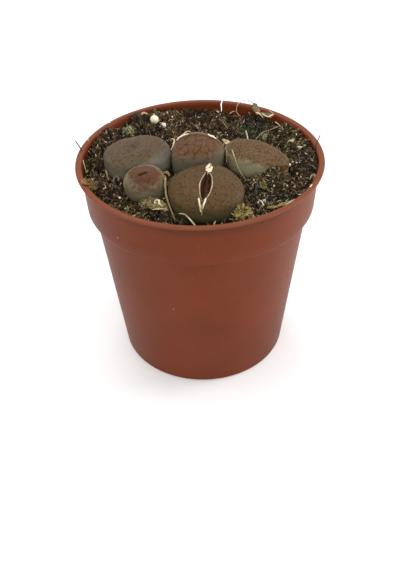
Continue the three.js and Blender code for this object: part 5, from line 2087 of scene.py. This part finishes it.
def place_strands() -> None:
    """Builds the straws, hairs and roots that stand out singly."""
    for strand in (
        Strand("leaning_straw", ((-11.3, -16.2, 2.6), (-11.35, -18.4, 1.3), (-11.2, -20.9, 0), (-10.7, -24, -1.6),
                                 (-8.2, -31.0, -5.0)), (0.4, 0.26), 0.5, STRAW, Slot.STRAW, "straw_between_heads"),
        Strand("lying_straw", ((10.9, -1.1, 3.0), (11.6, -4.3, 1.9), (13.2, -6.1, -2.2), (16.2, -8.6, -6)),
               (0.17, 0.14), 0.7, SHED, Slot.STRAW, "straw_right"),
        Strand("curved_straw", ((-7.2, -31.0, -2.4), (-6.5, -31.4, -1.9), (-5.1, -31.9, -2.0), (-3.5, -34.1, -2.3),
                                (-1.6, -36.6, -3.6)), (0.12, 0.36), 0.7, PALE_STRAW, Slot.STRAW, "straw_front"),
        Strand("rim_hair_left", ((-43.3, 7.4, 3.4), (-42.4, 7.2, 1.8), (-41.4, 6.3, 0.5), (-40.5, 4.8, -0.8),
                                 (-39.5, 3.2, -4.6)), (0.19, 0.26), 1.0, DARK_HAIR, Slot.STRAW),
        Strand("wall_root_left", ((-40.3, 1.2, -0.9), (-39.8, 0.0, -2.4), (-39.2, -1.4, -4.8)), (0.24, 0.18), 0.8,
               PALE_STRAW, Slot.STRAW),
        Strand("rim_hair_right", ((41.6, 5.4, 4.2), (41.0, 5.0, 2.6), (40.3, 4.3, 0.9), (39.7, 3.9, -1.0),
                                  (38.9, 4.7, -4.6)), (0.17, 0.25), 1.0, DARK_HAIR, Slot.STRAW),
        Strand("looping_root", ((16.2, 35.5, -4.6), (14.5, 35.7, -2.5), (14.3, 35.9, -1.0), (14.9, 36.6, 0.4),
                                (16.1, 37.3, 1.2), (17.3, 37.6, 1.5), (20.6, 36.0, 1.0)), (0.15, 0.12), 1.0,
               PALE_STRAW, Slot.STRAW),
        Strand("root_dash_back", ((11.6, 36.4, -3.4), (13.0, 37.0, -2.7), (14.0, 37.2, -2.8)), (0.18, 0.14), 1.0,
               PALE_STRAW, Slot.STRAW),
        # A pale fibre on the leaf scrap, brightened to stand in for its painted highlight strip as well.
        Strand("fibre_scrap_highlight", ((21.2, 29.4, 0.6), (22.6, 28.8, 0.3), (23.9, 28.0, -1.0)), (0.26, 0.2), 0.7,
               CREAM, Slot.STRAW, "", 0.15),
        Strand("fibre_scrap_side", ((23.4, 28.6, 0.6), (24.6, 27.4, 0.2), (25.6, 26.8, 0.1), (27.4, 27.6, 0.5)),
               (0.2, 0.28), 0.7, CREAM, Slot.STRAW, "", 0.15),
        Strand("fibre_scrap_end", ((26.1, 30.5, 0.8), (27.6, 29.4, -0.1), (29.0, 28.3, -1.8)), (0.14, 0.18), 0.8,
               SHED, Slot.STRAW),
        Strand("grey_fibre_rim", ((17.4, 38.2, 1.9), (19.8, 36.2, 1.6), (22.4, 33.6, 1.2)), (0.09, 0.11), 1.0,
               GREY_FIBRE, Slot.STRAW),
        Strand("fibre_arch_right", ((35.6, 3.6, -2.2), (36.6, 2.4, -0.6), (38.3, 3.6, -1.6)), (0.16, 0.12), 0.8,
               STRAW, Slot.STRAW),
        Strand("lying_root_right", ((20.1, 17.1, -4.2), (22.8, 19.6, -2.6), (26.6, 21.3, -2.0), (30.9, 24.4, -2.2)),
               (0.2, 0.15), 1.0, STRAW, Slot.STRAW),
        Strand("stick_right", ((27.9, 24.8, -1.0), (29.0, 23.6, -1.2), (30.2, 22.4, -2.2)), (0.17, 0.13), 0.8,
               PALE_STRAW, Slot.STRAW),
        Strand("stick_left", ((-31.8, -6.3, -0.8), (-31.3, -7.4, -2.0), (-30.8, -8.6, -3.6)), (0.3, 0.22), 0.6,
               STRAW, Slot.STRAW),
        Strand("root_curl_left", ((-29.0, -9.6, -3.4), (-28.9, -8.6, -2.6), (-28.0, -8.2, -2.2), (-27.3, -8.9, -2.4),
                                  (-27.6, -9.8, -3.0)), (0.34, 0.3), 0.8, ASH_SHED, Slot.STRAW),
        Strand("leaf_strip_edge", ((26.6, -27.4, -2.6), (28.6, -25.8, -2.2), (31.0, -23.8, -2.4)), (0.24, 0.16), 0.6,
               CREAM, Slot.STRAW),
        Strand("wet_twig_right", ((18.6, -22.8, -3.2), (19.4, -24.4, -2.9), (20.0, -26.0, -3.4)), (0.2, 0.14), 0.7,
               CREAM, Slot.STRAW),
        Strand("lip_sliver", ((35.05, -20.95, -0.08), (35.6, -20.15, 0.0), (36.0, -19.35, -0.08)), (0.22, 0.18), 0.4,
               CREAM, Slot.STRAW),
        Strand("lying_root_side", ((34.9, -0.6, -2.2), (35.9, -3.4, -1.8), (37.2, -6.4, -2.2)), (0.2, 0.18), 1.0,
               PALE_STRAW, Slot.STRAW),
        Strand("twig_back", ((8.6, 30.6, -3.6), (9.4, 28.6, -3.2), (10.6, 25.6, -3.8)), (0.2, 0.16), 1.0,
               STRAW, Slot.STRAW),
        Strand("sliver_right", ((17.0, 20.4, -1.9), (17.3, 19.0, -2.8), (17.7, 17.0, -4.2)), (0.22, 0.24), 0.6,
               PALE_STRAW, Slot.STRAW),
        Strand("dark_twig_right", ((17.6, -19.4, -2.6), (18.6, -15.6, -1.0), (19.4, -12.6, -1.2)), (0.3, 0.22), 0.9,
               DARK_HAIR, Slot.STRAW),
    ):
        strand.build()


def place_leaves() -> None:
    """Builds the dead leaves."""
    for leaf in (
        DeadLeaf("leaf_strip_long", ((20.9, -27.3, -3.4), (23.5, -26.6, -3.1), (27.2, -25.2, -3.0), (30.4, -23.0, -3.2)),
                 1.45, 0.3, DEAD_LEAF, "leaf_strip_front_right", 3),
        DeadLeaf("leaf_strip_short", ((14.5, -33.2, -4.1), (16.2, -32.2, -3.5), (18.3, -30.4, -3.9)), 1.8, 0.3,
                 DEAD_LEAF, "leaf_strip_front", 4),
        DeadLeaf("leaf_scrap_rim", ((20.9, 35.0, 1.0), (20.8, 33.0, 1.1), (23.0, 29.6, 0.4), (26.8, 27.6, -0.2)),
                 1.7, 0.5, DEBRIS, "leaf_scrap_back", 5, Slot.DEAD_LEAF, 0.9),
        DeadLeaf("leaf_scrap_pale", ((24.0, 29.6, 0.2), (25.4, 28.2, 0.5), (27.4, 27.4, -0.4)), 0.9, -0.3, DEBRIS, "", 15,
                 Slot.DEAD_LEAF, 0.5),
        DeadLeaf("leaf_scrap_tip", ((20.8, 35.8, 1.3), (21.2, 35.1, 1.0), (21.5, 34.0, 0.8)), 1.7, 0.4, GREEN_SCRAP, "",
                 16, Slot.MOSS_DARK, 0.6),
        DeadLeaf("leaf_bit_left", ((-38.9, -13.8, 0.1), (-37.8, -15.4, 0.8), (-36.2, -16.8, 0.2)), 1.7, 0.6, BROWN_LEAF,
                 "", 19, Slot.DEAD_LEAF, 0.9),
        DeadLeaf("bark_chip_back", ((-21.8, 33.6, -1.4), (-20.4, 34.2, -0.9), (-18.8, 34.0, -1.3)), 1.3, 0.3, SHED, "",
                 17, Slot.DEAD_LEAF, 0.5),
        DeadLeaf("pale_leaf_right", ((34.0, 8.4, -2.0), (35.6, 7.6, -1.3), (37.2, 8.4, -1.5)), 1.2, 0.4, PALE_GREEN, "",
                 20, Slot.DEAD_LEAF, 0.6),
        DeadLeaf("pale_leaf_side", ((31.6, 13.2, -2.2), (32.8, 12.6, -1.7), (33.9, 13.4, -2.0)), 1.0, 0.3, PALE_GREEN, "",
                 21, Slot.DEAD_LEAF, 0.6),
        DeadLeaf("leaf_curl_right", ((36.2, -12.4, -2.6), (37.2, -11.2, -1.4), (38.0, -12.4, -1.2), (37.2, -13.6, -2.0)),
                 0.9, 0.3, OLIVE_SHED, "", 18, Slot.DEAD_LEAF, 0.3),
    ):
        leaf.build()


def main() -> None:
    """Builds the whole pot in order."""
    Studio().build()
    NurseryPot().build()
    heads = make_heads()
    peat = PeatBed(list(heads.values()))
    place_ground(peat)
    place_heads(heads)
    place_skins(heads)
    place_moss(peat)
    place_grit()
    place_strands()
    place_leaves()


if __name__ == "__main__":
    logging.basicConfig(level=logging.INFO, format="%(message)s")
    main()
